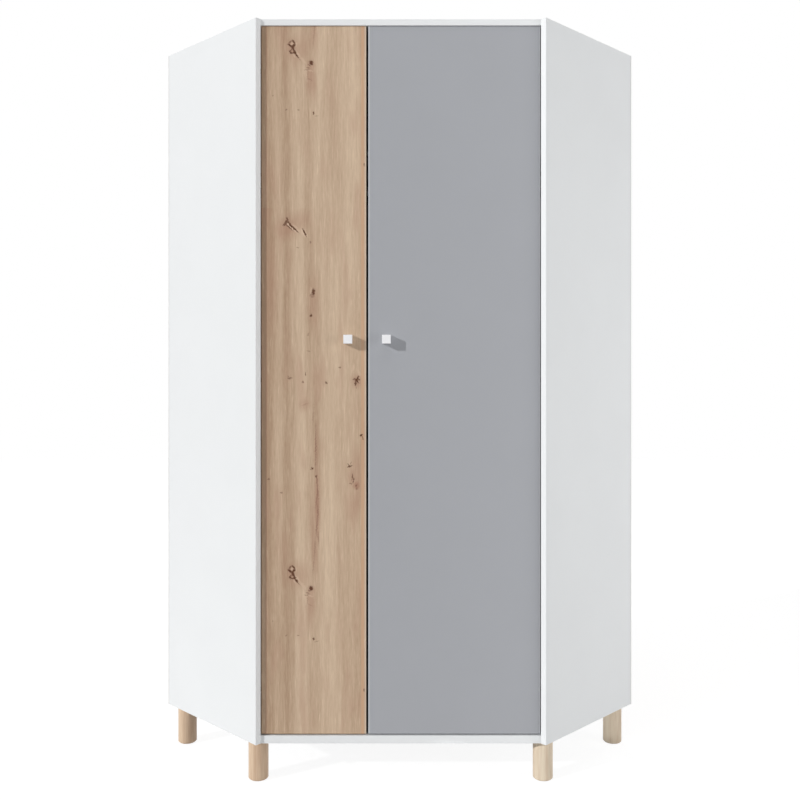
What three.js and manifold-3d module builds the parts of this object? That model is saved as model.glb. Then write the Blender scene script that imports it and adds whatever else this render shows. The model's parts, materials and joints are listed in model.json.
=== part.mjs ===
// A corner wardrobe: a five-sided carcass that fills a room's corner, two doors across its front,
// one clothes rail under a hat shelf, and five turned legs.
// Millimetres, +Z up. X runs along the door front, and Y from the doors to the room's corner.
import * as THREE from 'three';
import { mergeVertices } from 'three/addons/utils/BufferGeometryUtils.js';
import Module from 'manifold-3d';

const wasm = await Module();
wasm.setup();

// Carcass boards
const wallLength = 950; // from the room's corner to the outer face of a side panel, along a wall
const sideDepth = 420; // from a wall to the near corner, square to that wall, with the back sheet
const carcassHeight = 1880;
const boardThickness = 16;
const bottomThickness = 20; // of the bottom panel, which the legs are bolted to
const backThickness = 3;
const frontSetback = 1.5; // top and bottom panels' front edges behind the side panels' inner corners
const postWidth = 32; // square batten in the room's corner
const jointGap = 0.3; // between pieces that are fastened together

// Hat shelf
const hatSpace = 300; // clear height over the shelf
const shelfFromFront = 95; // front edge of the shelf behind the front edges of the carcass

// Clothes rail and its two brackets
const railHeight = 30;
const railWidth = 15;
const railWall = 1.2;
const railLength = 900;
const railFromFront = 330; // axis of the rail behind the front edges of the carcass
const hookSpace = 42; // between the shelf and the rail, for the hooks of coat hangers
const bracketWall = 3;
const bracketGrip = 14; // length of rail that a bracket holds
const bracketFlangeLength = 52;
const bracketFlangeWidth = 40;
const bracketScrewDiameter = 4.5;
const bracketScrewInset = 9; // from the flange's long edge to the screw's axis

// Legs with their bolts and glides
const legDiameter = 52.5;
const legLength = 107;
const legChamfer = 3;
const legFromSide = 39; // axis behind the outer face of a side panel
const legFromEnd = 40; // axis from the near corner's edge, and from a wall
const boltDiameter = 8;
const boltInPanel = 12; // length of bolt that goes up into the bottom panel
const boltInLeg = 40;
const boltPoint = 6; // length of the pointed end in the leg
const boltChamfer = 1;
const boltClearance = 0.3; // round the bolt, in both pieces
const glideDiameter = 24;
const glideStand = 1; // height of the glide below the leg
const glideHead = 3;
const glideEdge = 0.8; // rounding of the glide's tread, cut as a chamfer
const glidePinDiameter = 7;
const glidePinLength = 14;

// Doors
const doorThickness = 16;
const doorRecess = 3; // door fronts behind the front edges of the top and bottom panels
const doorSideGap = 1; // between a door's hinge edge and the side panel's inner corner, along X
const doorMiddleGap = 5.5;
const doorTopGap = 1;
const doorBottomGap = 4;
const leftDoorWidth = 272.5;

// Knobs and their screws
const knobWidth = 22.5;
const knobStand = 24; // how far a knob stands out from its door
const knobEdge = 1; // rounding of all its edges
const knobFromEdge = 47; // axis from the door's free edge
const knobHeight = 1025; // axis above the door's lower edge
const screwDiameter = 4;
const screwInKnob = 12;
const screwClearance = 0.4;
const screwHeadDiameter = 9;
const screwHeadHeight = 2.6;
const screwHeadCrown = 1; // height of the slanted part of the head

// Concealed hinges: a cup let into the door's back, and an arm that reaches round the door's edge
// to a plate on the side panel
const hingeFromEnd = 110; // from a door's upper and lower edges to the outer hinges' middles
const cupDiameter = 35; // of the hole in the door
const cupSkin = 3; // door material left in front of the cup
const cupWall = 0.8;
const cupFromEdge = 22; // cup's axis from the door's hinge edge
const flangeThickness = 1.2;
const flangeRim = 2; // width of the flange round the cup
const flangeHeight = 62;
const flangeWidth = 18;
const flangeCorner = 5;
const flangeShift = 5; // middle of the flange's ears beyond the cup's axis, away from the hinge edge
const flangeScrewSpacing = 48;
const flangeScrewDiameter = 4.4;
const pivotFromEdge = 11; // pin's axis from the door's hinge edge
const pivotFromFront = 8.5; // pin's axis behind the door's front face
const pinDiameter = 4;
const pinClearance = 0.3;
const pinEndGap = 0.3; // between the pin's ends and the cup's wall
const pinChamfer = 0.4;
const eyeWall = 1; // metal round the pin in the arm's eye
const armThickness = 2;
const armWidth = 12;
const armClearance = 0.7; // between the arm and the door's edge as it swings past
const armNeckRadius = 4; // bend between the arm's neck and its curve round the door's edge
const armBendRadius = 6; // bend from the curve to the flat stretch on the plate
const armWrapAngle = THREE.MathUtils.degToRad(112); // where the curve round the door's edge ends
const armSlotLength = 12;
const armSlotWidth = 5.4;
const armSlotFromEnd = 8; // from the arm's end to the slot's middle
const plateLength = 36; // along the depth of the side panel
const plateFromFront = 28; // from the side panel's inner corner to the plate
const plateRidgeHeight = 5.7; // the arm lies on the ridge
const plateBase = 2;
const plateWingHeight = 50;
const plateWingLength = 16;
const plateWingCorner = 4;
const plateScrewSpacing = 32;
const plateScrewDiameter = 5;

// Facets of round shapes
const cupFacets = 24;
const legFacets = 24;
const boltFacets = 10;
const holeFacets = 12;
const cornerSteps = 3;
const cutOverrun = 1; // how far a cutting body passes the faces that it cuts

// Finishes
const whiteBoard = { color: 0xf1f2f2, roughness: 0.45, metalness: 0 };
const whiteSheet = { color: 0xe9eaea, roughness: 0.6, metalness: 0 };
const knottyOak = { color: 0xb99f8a, roughness: 0.55, metalness: 0 };
const greyBoard = { color: 0xa6a8ac, roughness: 0.5, metalness: 0 };
const beechWood = { color: 0xd6b896, roughness: 0.5, metalness: 0 };
const pineWood = { color: 0xd9c09a, roughness: 0.7, metalness: 0 };
const nickelSteel = { color: 0xb9bbbd, roughness: 0.3, metalness: 1 };
const chromeSteel = { color: 0xd0d2d4, roughness: 0.15, metalness: 1 };
const whitePaint = { color: 0xf4f4f2, roughness: 0.4, metalness: 0 };
const greyNylon = { color: 0x8c8d8f, roughness: 0.6, metalness: 0 };

// Sizes worked out from the ones above. A side is -1 on the left and 1 on the right.
const sides = { left: -1, right: 1 };
const turn = Math.PI / 4; // between the door front and each side panel
const frontHalf = (wallLength - sideDepth) / Math.SQRT2; // to a side panel's near outer corner
const roomCornerY = frontHalf + sideDepth * Math.SQRT2;
const innerHalf = frontHalf - boardThickness / Math.SQRT2; // to a side panel's near inner corner
const carcassFrontY = boardThickness / Math.SQRT2 + frontSetback;
const doorFrontY = carcassFrontY + doorRecess;
const doorEdgeHalf = innerHalf - doorSideGap; // hinge edges of the two doors
const panelRun = sideDepth - backThickness; // depth of a side panel up to the back sheet
const standHeight = legLength + glideStand; // floor to the carcass
const carcassTop = standHeight + carcassHeight;
const bottomPanelTop = standHeight + bottomThickness;
const topPanelLow = carcassTop - boardThickness;
const shelfLow = topPanelLow - hatSpace - boardThickness;
const doorLow = bottomPanelTop + doorBottomGap;
const doorHigh = topPanelLow - doorTopGap;
const rightDoorWidth = 2 * doorEdgeHalf - doorMiddleGap - leftDoorWidth;
const doorWidths = { left: leftDoorWidth, right: rightDoorWidth };
const hingeHeights = {
  top: doorHigh - hingeFromEnd,
  middle: (doorHigh + doorLow) / 2,
  bottom: doorLow + hingeFromEnd,
};
const reachFront = Math.min(0, doorFrontY - knobStand); // the foremost point, a knob or a corner

// Solids and meshes

function solidOf(geometry) {
  const bare = geometry.clone();
  bare.deleteAttribute('normal');
  bare.deleteAttribute('uv');
  const merged = mergeVertices(bare);
  const corners = merged.index.array;
  const kept = [];
  for (let i = 0; i < corners.length; i += 3) {
    const [a, b, c] = corners.slice(i, i + 3);
    if (a !== b && b !== c && c !== a) {
      kept.push(a, b, c);
    }
  }
  const mesh = new wasm.Mesh({
    numProp: 3,
    vertProperties: merged.attributes.position.array,
    triVerts: Uint32Array.from(kept),
  });
  return new wasm.Manifold(mesh);
}

function geometryOf(solid) {
  const mesh = solid.getMesh();
  const geometry = new THREE.BufferGeometry();
  geometry.setAttribute('position', new THREE.BufferAttribute(mesh.vertProperties, 3));
  geometry.setIndex(new THREE.BufferAttribute(mesh.triVerts, 1));
  geometry.computeVertexNormals();
  return geometry;
}

// The first geometry joined with the ones in added, less the ones in cut
function combine(first, added, cut) {
  let solid = solidOf(first);
  for (const geometry of added) {
    solid = solid.add(solidOf(geometry));
  }
  for (const geometry of cut) {
    solid = solid.subtract(solidOf(geometry));
  }
  return geometryOf(solid);
}

function piece(name, geometry, finish) {
  const mesh = new THREE.Mesh(geometry, new THREE.MeshStandardMaterial(finish));
  mesh.name = name;
  return mesh;
}

function boxBetween(low, high) {
  const box = new THREE.BoxGeometry(
    Math.abs(high[0] - low[0]),
    Math.abs(high[1] - low[1]),
    Math.abs(high[2] - low[2]),
  );
  box.translate((low[0] + high[0]) / 2, (low[1] + high[1]) / 2, (low[2] + high[2]) / 2);
  return box;
}

function extrude(shape, depth) {
  return new THREE.ExtrudeGeometry(shape, { depth, bevelEnabled: false, curveSegments: cornerSteps });
}

// A cylinder along Z, from low to high
function roundBar(diameter, low, high, facets) {
  const bar = new THREE.CylinderGeometry(diameter / 2, diameter / 2, high - low, facets);
  bar.rotateX(Math.PI / 2);
  bar.translate(0, 0, (low + high) / 2);
  return bar;
}

// A body turned about Z, from a list of [radius, height] that starts and ends on the axis
function turned(profile, facets) {
  const points = profile.map(([radius, height]) => new THREE.Vector2(radius, height));
  const body = new THREE.LatheGeometry(points, facets);
  body.rotateX(Math.PI / 2);
  return body;
}

// Turns what was made along +Z so that it points along +Y, towards the room's corner
function alongDepth(geometry) {
  return geometry.rotateX(-Math.PI / 2);
}

function roundedRectangle(width, height, corner) {
  const shape = new THREE.Shape();
  const x = width / 2 - corner;
  const y = height / 2 - corner;
  shape.absarc(x, -y, corner, -Math.PI / 2, 0);
  shape.absarc(x, y, corner, 0, Math.PI / 2);
  shape.absarc(-x, y, corner, Math.PI / 2, Math.PI);
  shape.absarc(-x, -y, corner, Math.PI, Math.PI * 1.5);
  return shape;
}

// Places in plan

// A point given by its run along a side panel from the near corner towards the wall,
// and by its inset from that panel's outer face
function planPoint(side, run, inset) {
  const x = side * (frontHalf + (run - inset) / Math.SQRT2);
  return new THREE.Vector2(x, (run + inset) / Math.SQRT2);
}

// A group whose X runs along a side panel, backwards on the left, and whose Y is the inset
function sideFrame(side) {
  const frame = new THREE.Group();
  frame.position.set(side * frontHalf, 0, 0);
  frame.rotation.z = side * turn;
  return frame;
}

// Half of a board that lies between the side panels, from its front edge to the back sheets
function innerHalfOutline(side, frontY) {
  const inset = boardThickness + jointGap;
  const frontRun = frontY * Math.SQRT2 - inset;
  return [planPoint(side, frontRun, inset), planPoint(side, panelRun - jointGap, inset)];
}

function fiveSidedShape(frontY, rearPoints) {
  const left = innerHalfOutline(sides.left, frontY);
  const right = innerHalfOutline(sides.right, frontY);
  return new THREE.Shape([...right, ...rearPoints, left[1], left[0]]);
}

// Where the faces of the two back sheets meet, seen from inside
function rearCorner() {
  return planPoint(sides.left, panelRun - jointGap, wallLength - backThickness - jointGap);
}

// Legs

const legPlaces = {
  front_left: planPoint(sides.left, legFromEnd, legFromSide),
  front_right: planPoint(sides.right, legFromEnd, legFromSide),
  rear_left: planPoint(sides.left, sideDepth - legFromEnd, legFromSide),
  rear_right: planPoint(sides.right, sideDepth - legFromEnd, legFromSide),
  corner: planPoint(sides.left, sideDepth - legFromEnd, wallLength - legFromEnd),
};
const boltHoleDiameter = boltDiameter + 2 * boltClearance;

function legGeometry() {
  const radius = legDiameter / 2;
  const boltHole = boltHoleDiameter / 2;
  const boltFloor = legLength - boltInLeg - boltClearance;
  const seat = glideDiameter / 2 + jointGap;
  const seatDepth = glideHead - glideStand + jointGap;
  const pinHole = glidePinDiameter / 2 + jointGap;
  const pinCeiling = seatDepth + glidePinLength;
  return turned([
    [0, pinCeiling],
    [pinHole, pinCeiling],
    [pinHole, seatDepth],
    [seat, seatDepth],
    [seat, 0],
    [radius - legChamfer, 0],
    [radius, legChamfer],
    [radius, legLength - jointGap],
    [boltHole, legLength - jointGap],
    [boltHole, boltFloor],
    [0, boltFloor],
  ], legFacets);
}

function boltGeometry() {
  const radius = boltDiameter / 2;
  return turned([
    [0, -boltInLeg],
    [boltChamfer, -boltInLeg],
    [radius, boltPoint - boltInLeg],
    [radius, boltInPanel - boltChamfer],
    [radius - boltChamfer, boltInPanel],
    [0, boltInPanel],
  ], boltFacets);
}

function glideGeometry() {
  const radius = glideDiameter / 2;
  const pin = glidePinDiameter / 2;
  return turned([
    [0, 0],
    [radius - glideEdge, 0],
    [radius, glideEdge],
    [radius, glideHead],
    [pin, glideHead],
    [pin, glideHead + glidePinLength - glideEdge],
    [pin - glideEdge, glideHead + glidePinLength],
    [0, glideHead + glidePinLength],
  ], boltFacets);
}

function makeLegs() {
  const legs = new THREE.Group();
  for (const [place, at] of Object.entries(legPlaces)) {
    const stand = new THREE.Group();
    stand.position.set(at.x, at.y, 0);
    const leg = piece(`leg_${place}`, legGeometry(), beechWood);
    leg.position.z = glideStand;
    const bolt = piece(`leg_bolt_${place}`, boltGeometry(), nickelSteel);
    bolt.position.z = standHeight;
    const glide = piece(`leg_glide_${place}`, glideGeometry(), greyNylon);
    stand.add(leg, bolt, glide);
    legs.add(stand);
  }
  return legs;
}

// Boards of the carcass

function makeSidePanel(name, side) {
  const frame = sideFrame(side);
  const board = boxBetween(
    [0, 0, standHeight],
    [side * (panelRun - jointGap), boardThickness, carcassTop],
  );
  frame.add(piece(`side_panel_${name}`, board, whiteBoard));
  return frame;
}

// The left sheet runs into the room's corner, and the right one butts against it
function makeBackPanel(name, side) {
  const frame = sideFrame(side);
  const end = side === sides.left ? wallLength : wallLength - backThickness - jointGap;
  const sheet = boxBetween(
    [side * panelRun, 0, standHeight],
    [side * sideDepth, end, carcassTop],
  );
  frame.add(piece(`back_panel_${name}`, sheet, whiteSheet));
  return frame;
}

function makeTopPanel() {
  const board = extrude(fiveSidedShape(carcassFrontY, [rearCorner()]), boardThickness);
  const panel = piece('top_panel', board, whiteBoard);
  panel.position.z = topPanelLow;
  return panel;
}

function makeBottomPanel() {
  const board = extrude(fiveSidedShape(carcassFrontY, [rearCorner()]), bottomThickness);
  const holes = Object.values(legPlaces).map((at) => {
    const depth = boltInPanel + boltClearance;
    return roundBar(boltHoleDiameter, -cutOverrun, depth, holeFacets).translate(at.x, at.y, 0);
  });
  const panel = piece('bottom_panel', combine(board, [], holes), whiteBoard);
  panel.position.z = standHeight;
  return panel;
}

// The shelf's rear corner is notched round the corner post
function makeHatShelf() {
  const run = panelRun - jointGap;
  const inset = wallLength - backThickness - jointGap;
  const notch = postWidth + 2 * jointGap;
  const rearPoints = [
    planPoint(sides.right, run, inset - notch),
    planPoint(sides.right, run - notch, inset - notch),
    planPoint(sides.left, run, inset - notch),
  ];
  const shape = fiveSidedShape(carcassFrontY + shelfFromFront, rearPoints);
  const shelf = piece('hat_shelf', extrude(shape, boardThickness), whiteBoard);
  shelf.position.z = shelfLow;
  return shelf;
}

function makeCornerPost() {
  const frame = sideFrame(sides.left);
  const run = panelRun - jointGap;
  const inset = wallLength - backThickness - jointGap;
  const post = boxBetween(
    [-run, inset - postWidth, bottomPanelTop + jointGap],
    [postWidth - run, inset, topPanelLow - jointGap],
  );
  frame.add(piece('back_corner_post', post, pineWood));
  return frame;
}

// Clothes rail

const railTop = shelfLow - hookSpace;
const railMiddle = railTop - railHeight / 2;

// An upright oval with straight flanks
function ovalShape(height, width) {
  const end = width / 2;
  const straight = height / 2 - end;
  const shape = new THREE.Shape();
  shape.absarc(straight, 0, end, -Math.PI / 2, Math.PI / 2);
  shape.absarc(-straight, 0, end, Math.PI / 2, Math.PI * 1.5);
  return shape;
}

// A section drawn with its height along X, extruded and laid along the door front
function alongFront(shape, length) {
  return extrude(shape, length).translate(0, 0, -length / 2).rotateY(Math.PI / 2);
}

function railGeometry() {
  const tube = ovalShape(railHeight, railWidth);
  tube.holes.push(ovalShape(railHeight - 2 * railWall, railWidth - 2 * railWall));
  return alongFront(tube, railLength);
}

// A cup that grips the rail's end, a web up to the shelf and a flange with two screw holes
function bracketGeometry(side) {
  const gripHeight = railHeight + 2 * (bracketWall + jointGap);
  const gripWidth = railWidth + 2 * (bracketWall + jointGap);
  const depth = bracketGrip + bracketWall;
  const webLow = railHeight / 2;
  const webHigh = railHeight / 2 + hookSpace - jointGap;
  const grip = alongFront(ovalShape(gripHeight, gripWidth), depth);
  const boreShape = ovalShape(railHeight + 2 * jointGap, railWidth + 2 * jointGap);
  const bore = alongFront(boreShape, depth).translate(-side * bracketWall, 0, 0);
  const web = boxBetween(
    [side * (depth / 2 - bracketWall), -gripWidth / 2, webLow],
    [side * (depth / 2), gripWidth / 2, webHigh],
  );
  const flangeEnd = depth / 2 - bracketFlangeLength;
  const flange = boxBetween(
    [side * flangeEnd, -bracketFlangeWidth / 2, webHigh - bracketWall],
    [side * (depth / 2), bracketFlangeWidth / 2, webHigh],
  );
  const screwY = bracketFlangeWidth / 2 - bracketScrewInset;
  const screws = [-screwY, screwY].map((y) => {
    const hole = roundBar(
      bracketScrewDiameter,
      webHigh - bracketWall - cutOverrun,
      webHigh + cutOverrun,
      holeFacets,
    );
    return hole.translate(side * (flangeEnd + bracketScrewInset), y, 0);
  });
  return combine(grip, [web, flange], [bore, ...screws]);
}

function makeRail() {
  const group = new THREE.Group();
  group.position.set(0, carcassFrontY + railFromFront, railMiddle);
  group.add(piece('clothes_rail', railGeometry(), chromeSteel));
  for (const [name, side] of Object.entries(sides)) {
    const bracket = piece(`rail_bracket_${name}`, bracketGeometry(side), nickelSteel);
    const depth = bracketGrip + bracketWall;
    bracket.position.x = side * (railLength / 2 + jointGap + bracketWall - depth / 2);
    group.add(bracket);
  }
  return group;
}

// Doors, drawn about their hinge axes

// A point on a door, from its hinge edge towards its free edge and from its front face inwards
function doorPoint(side, fromEdge, fromFront) {
  return new THREE.Vector2(side * (pivotFromEdge - fromEdge), fromFront - pivotFromFront);
}

const knobSolid = knobWidth - 2 * knobEdge;

function makeDoorBoard(name, side, finish) {
  const width = doorWidths[name];
  const low = doorPoint(side, 0, 0);
  const high = doorPoint(side, width, doorThickness);
  const board = boxBetween([low.x, low.y, doorLow], [high.x, high.y, doorHigh]);
  const cuts = Object.values(hingeHeights).map((z) => {
    const at = doorPoint(side, cupFromEdge, cupSkin);
    const depth = doorThickness - cupSkin;
    const bore = alongDepth(roundBar(cupDiameter, 0, depth + cutOverrun, cupFacets));
    return bore.translate(at.x, at.y, z);
  });
  const knobAt = doorPoint(side, width - knobFromEdge, 0);
  const holeDiameter = screwDiameter + 2 * screwClearance;
  const hole = roundBar(holeDiameter, -cutOverrun, doorThickness + cutOverrun, holeFacets);
  cuts.push(alongDepth(hole).translate(knobAt.x, knobAt.y, doorLow + knobHeight));
  return piece(`door_${name}`, combine(board, [], cuts), finish);
}

function makeKnob(name) {
  const side = sides[name];
  const outline = roundedRectangle(knobSolid, knobSolid, knobEdge);
  const length = knobStand - jointGap;
  const body = new THREE.ExtrudeGeometry(outline, {
    depth: length - 2 * knobEdge,
    bevelSize: knobEdge,
    bevelThickness: knobEdge,
    bevelSegments: 1,
    curveSegments: 1,
  });
  body.translate(0, 0, knobEdge - length);
  const bore = roundBar(screwDiameter + 2 * screwClearance, -screwInKnob, cutOverrun, holeFacets);
  const knob = piece(`knob_${name}`, alongDepth(combine(body, [], [bore])), whitePaint);
  const at = doorPoint(side, doorWidths[name] - knobFromEdge, 0);
  knob.position.set(at.x, at.y - jointGap, doorLow + knobHeight);
  return knob;
}

function makeKnobScrew(name) {
  const side = sides[name];
  const shank = screwDiameter / 2;
  const head = screwHeadDiameter / 2;
  const tip = screwClearance - screwInKnob;
  const seat = doorThickness + jointGap;
  const body = turned([
    [0, tip],
    [shank, tip],
    [shank, seat],
    [head, seat],
    [head, seat + screwHeadHeight - screwHeadCrown],
    [head - screwHeadCrown, seat + screwHeadHeight],
    [0, seat + screwHeadHeight],
  ], boltFacets);
  const screw = piece(`knob_screw_${name}`, alongDepth(body), nickelSteel);
  const at = doorPoint(side, doorWidths[name] - knobFromEdge, 0);
  screw.position.set(at.x, at.y, doorLow + knobHeight);
  return screw;
}

// Concealed hinges

const cupOuter = cupDiameter / 2 - jointGap;
const cupInner = cupOuter - cupWall;
const cupFloor = cupSkin + jointGap; // of the cup's outside, from the door's front face
const flangeSeat = doorThickness + jointGap;
const eyeRadius = pinDiameter / 2 + pinClearance + eyeWall;
const edgeSweep = Math.hypot(
  pivotFromEdge,
  Math.max(pivotFromFront, doorThickness - pivotFromFront),
); // the door's farthest corner from the pin
const armCurve = edgeSweep + armClearance + armThickness / 2;
const armOffset = plateRidgeHeight + 2 * jointGap + armThickness / 2; // from the side panel

// The cup is a turned bowl, joined with a flange whose ears carry the screws. Drawn with the
// cup's axis along Z, its open side up, and the door's hinge edge towards side * X.
function cupGeometry(side) {
  const bowl = turned([
    [0, cupFloor],
    [cupOuter, cupFloor],
    [cupOuter, flangeSeat],
    [cupOuter + flangeRim, flangeSeat],
    [cupOuter + flangeRim, flangeSeat + flangeThickness],
    [cupInner, flangeSeat + flangeThickness],
    [cupInner, cupFloor + cupWall],
    [0, cupFloor + cupWall],
  ], cupFacets);
  const ears = extrude(roundedRectangle(flangeWidth, flangeHeight, flangeCorner), flangeThickness);
  ears.translate(-side * flangeShift, 0, flangeSeat);
  const mouth = roundBar(
    2 * cupInner,
    cupFloor + cupWall,
    flangeSeat + flangeThickness + cutOverrun,
    cupFacets,
  );
  const holes = [-1, 1].map((end) => {
    const hole = roundBar(
      flangeScrewDiameter,
      flangeSeat - cutOverrun,
      flangeSeat + flangeThickness + cutOverrun,
      holeFacets,
    );
    return hole.translate(-side * flangeShift, (end * flangeScrewSpacing) / 2, 0);
  });
  return alongDepth(combine(bowl, [ears], [mouth, ...holes]));
}

function pinGeometry() {
  const radius = pinDiameter / 2;
  const chord = Math.sqrt(cupInner ** 2 - (cupFromEdge - pivotFromEdge + radius) ** 2);
  const end = chord - pinEndGap;
  return turned([
    [0, -end],
    [radius - pinChamfer, -end],
    [radius, pinChamfer - end],
    [radius, end - pinChamfer],
    [radius - pinChamfer, end],
    [0, end],
  ], boltFacets);
}

// Points along an arc, both ends included
function arcPoints(centre, radius, from, to, steps) {
  const points = [];
  for (let i = 0; i <= steps; i += 1) {
    const angle = from + ((to - from) * i) / steps;
    const spoke = new THREE.Vector2(Math.cos(angle), Math.sin(angle));
    points.push(spoke.multiplyScalar(radius).add(centre));
  }
  return points;
}

// The arm's middle line in plan, from the pin: X towards the door's free edge and Y into the
// carcass. A neck leaves the pin, a curve about the pin carries it round the door's edge, and
// a bend brings it flat along the side panel.
function armMiddleLine() {
  const pin = new THREE.Vector2(0, 0);
  const neckX = Math.sqrt((armCurve - armNeckRadius) ** 2 - armNeckRadius ** 2);
  const neckCentre = new THREE.Vector2(neckX, armNeckRadius);
  const neckAngle = neckCentre.angle();
  const neck = arcPoints(neckCentre, armNeckRadius, -Math.PI / 2, neckAngle, cornerSteps);
  const wrapSteps = 2 * cornerSteps;
  const wrap = arcPoints(pin, armCurve, neckAngle, armWrapAngle, wrapSteps);
  const wrapEnd = wrap[wrapSteps];
  const heading = armWrapAngle + Math.PI / 2; // of the straight stretch towards the side panel
  const panelHeading = Math.PI - turn;
  const inward = new THREE.Vector2(Math.cos(turn), Math.sin(turn)); // out of the panel's face
  const panelCorner = doorPoint(sides.left, -doorSideGap, -doorRecess - frontSetback);
  const ahead = new THREE.Vector2(Math.cos(heading), Math.sin(heading));
  const toPanel = wrapEnd.clone().sub(panelCorner).dot(inward) - armOffset;
  const knee = wrapEnd.clone().addScaledVector(ahead, -toPanel / ahead.dot(inward));
  const along = new THREE.Vector2(Math.cos(panelHeading), Math.sin(panelHeading));
  const tangent = armBendRadius * Math.tan((heading - panelHeading) / 2);
  const bendStart = knee.clone().addScaledVector(ahead, -tangent);
  const bendCentre = bendStart.clone().addScaledVector(
    new THREE.Vector2(Math.sin(heading), -Math.cos(heading)),
    armBendRadius,
  );
  const bend = arcPoints(
    bendCentre,
    armBendRadius,
    heading + Math.PI / 2,
    panelHeading + Math.PI / 2,
    cornerSteps,
  );
  const endRun = plateFromFront + plateLength;
  const end = panelCorner.clone()
    .addScaledVector(along, endRun)
    .addScaledVector(inward, armOffset);
  return [pin, ...neck, ...wrap.slice(1), ...bend, end];
}

// The outline of a strip of even thickness along a line
function stripOutline(line, thickness) {
  const left = [];
  const right = [];
  line.forEach((point, i) => {
    const before = line[Math.max(i - 1, 0)];
    const after = line[Math.min(i + 1, line.length - 1)];
    const across = after.clone().sub(before).normalize().rotateAround(new THREE.Vector2(), Math.PI / 2);
    left.push(point.clone().addScaledVector(across, thickness / 2));
    right.unshift(point.clone().addScaledVector(across, -thickness / 2));
  });
  return [...left, ...right];
}

function mirrored(points, side) {
  return points.map((point) => new THREE.Vector2(-side * point.x, point.y));
}

// Slot for the screw that clamps the arm to its plate, cut square through the flat stretch
function armSlot(side) {
  const slot = extrude(
    roundedRectangle(armSlotLength, armSlotWidth, armSlotWidth / 2),
    armThickness + 2 * cutOverrun,
  );
  slot.translate(0, 0, -armThickness / 2 - cutOverrun);
  slot.rotateX(-Math.PI / 2).rotateZ(side * turn);
  const run = plateFromFront + plateLength - armSlotFromEnd;
  const corner = doorPoint(side, -doorSideGap, -doorRecess - frontSetback);
  const reach = (run - armOffset) / Math.SQRT2;
  const rise = (run + armOffset) / Math.SQRT2;
  return slot.translate(corner.x + side * reach, corner.y + rise, 0);
}

function armGeometry(side) {
  const strip = new THREE.Shape(mirrored(stripOutline(armMiddleLine(), armThickness), side));
  const arm = extrude(strip, armWidth).translate(0, 0, -armWidth / 2);
  const eye = roundBar(2 * eyeRadius, -armWidth / 2, armWidth / 2, holeFacets);
  const boreDiameter = pinDiameter + 2 * pinClearance;
  const bore = roundBar(boreDiameter, -armWidth, armWidth, holeFacets);
  return combine(arm, [eye], [bore, armSlot(side)]);
}

// The mounting plate: a base with two wings for its screws and a ridge that the arm lies on.
// Drawn with X along the side panel and Z out of its face.
function plateGeometry() {
  const base = extrude(roundedRectangle(plateLength, armWidth + 2 * plateBase, plateBase), plateBase);
  const wings = extrude(
    roundedRectangle(plateWingLength, plateWingHeight, plateWingCorner),
    plateBase,
  );
  const ridge = boxBetween(
    [-plateLength / 2, -armWidth / 2, plateBase / 2],
    [plateLength / 2, armWidth / 2, plateRidgeHeight],
  );
  const holes = [-1, 1].map((end) => {
    const hole = roundBar(plateScrewDiameter, -cutOverrun, plateBase + cutOverrun, holeFacets);
    return hole.translate(0, (end * plateScrewSpacing) / 2, 0);
  });
  const plate = combine(base, [wings, ridge], holes);
  plate.translate(0, 0, jointGap);
  return plate;
}

// What the hinge line of one door carries on the side panel: arms about the pins, and plates
function makeHingeArms(name) {
  const side = sides[name];
  const group = new THREE.Group();
  group.position.copy(pivotPlace(side));
  for (const [place, z] of Object.entries(hingeHeights)) {
    const arm = piece(`hinge_arm_${name}_${place}`, armGeometry(side), nickelSteel);
    arm.position.z = z;
    group.add(arm);
  }
  return group;
}

function makeHingePlates(name) {
  const side = sides[name];
  const frame = sideFrame(side);
  for (const [place, z] of Object.entries(hingeHeights)) {
    const plate = piece(`hinge_plate_${name}_${place}`, alongDepth(plateGeometry()), nickelSteel);
    plate.position.set(side * (plateFromFront + plateLength / 2), boardThickness, z);
    frame.add(plate);
  }
  return frame;
}

// Where a door's hinge axis stands in plan
function pivotPlace(side) {
  const x = side * (doorEdgeHalf - pivotFromEdge);
  return new THREE.Vector3(x, doorFrontY + pivotFromFront, 0);
}

function makeDoor(name, finish) {
  const side = sides[name];
  const door = new THREE.Group();
  door.position.copy(pivotPlace(side));
  door.add(makeDoorBoard(name, side, finish), makeKnob(name), makeKnobScrew(name));
  const cupAt = doorPoint(side, cupFromEdge, 0);
  for (const [place, z] of Object.entries(hingeHeights)) {
    const cup = piece(`hinge_cup_${name}_${place}`, cupGeometry(side), nickelSteel);
    cup.position.set(cupAt.x, cupAt.y, z);
    const pin = piece(`hinge_pin_${name}_${place}`, pinGeometry(), nickelSteel);
    pin.position.z = z;
    door.add(cup, pin);
  }
  return door;
}

function makeCarcass() {
  const carcass = new THREE.Group();
  for (const [name, side] of Object.entries(sides)) {
    carcass.add(makeSidePanel(name, side), makeBackPanel(name, side));
    carcass.add(makeHingeArms(name), makeHingePlates(name));
  }
  carcass.add(makeTopPanel(), makeBottomPanel(), makeHatShelf(), makeCornerPost());
  carcass.add(makeRail(), makeLegs());
  return carcass;
}

// The origin is on the floor, under the middle of the whole wardrobe
const wardrobe = new THREE.Group();
wardrobe.position.y = -(reachFront + roomCornerY) / 2;
wardrobe.add(makeCarcass(), makeDoor('left', knottyOak), makeDoor('right', greyBoard));

export default wardrobe;
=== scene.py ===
# %% [markdown]
# # Corner wardrobe
#
# A two-door wardrobe that fills the corner of a room: white boards, a narrow door in knotty oak,
# a wide grey door, two white knobs and five turned legs. The CAD model holds the boards, hinges
# and joints at their real sizes. This notebook dresses them: it rounds the edges that a hand
# would feel, adds the small fittings, gives each piece its finish, and sets up a plain studio.
#
# The first cell loads the CAD model as a fixed frame. Its nodes are meshes in metres that never
# move. What is added later rides on one of its three bodies, the carcass and the two doors, or
# stands in for one of its nodes.

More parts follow.
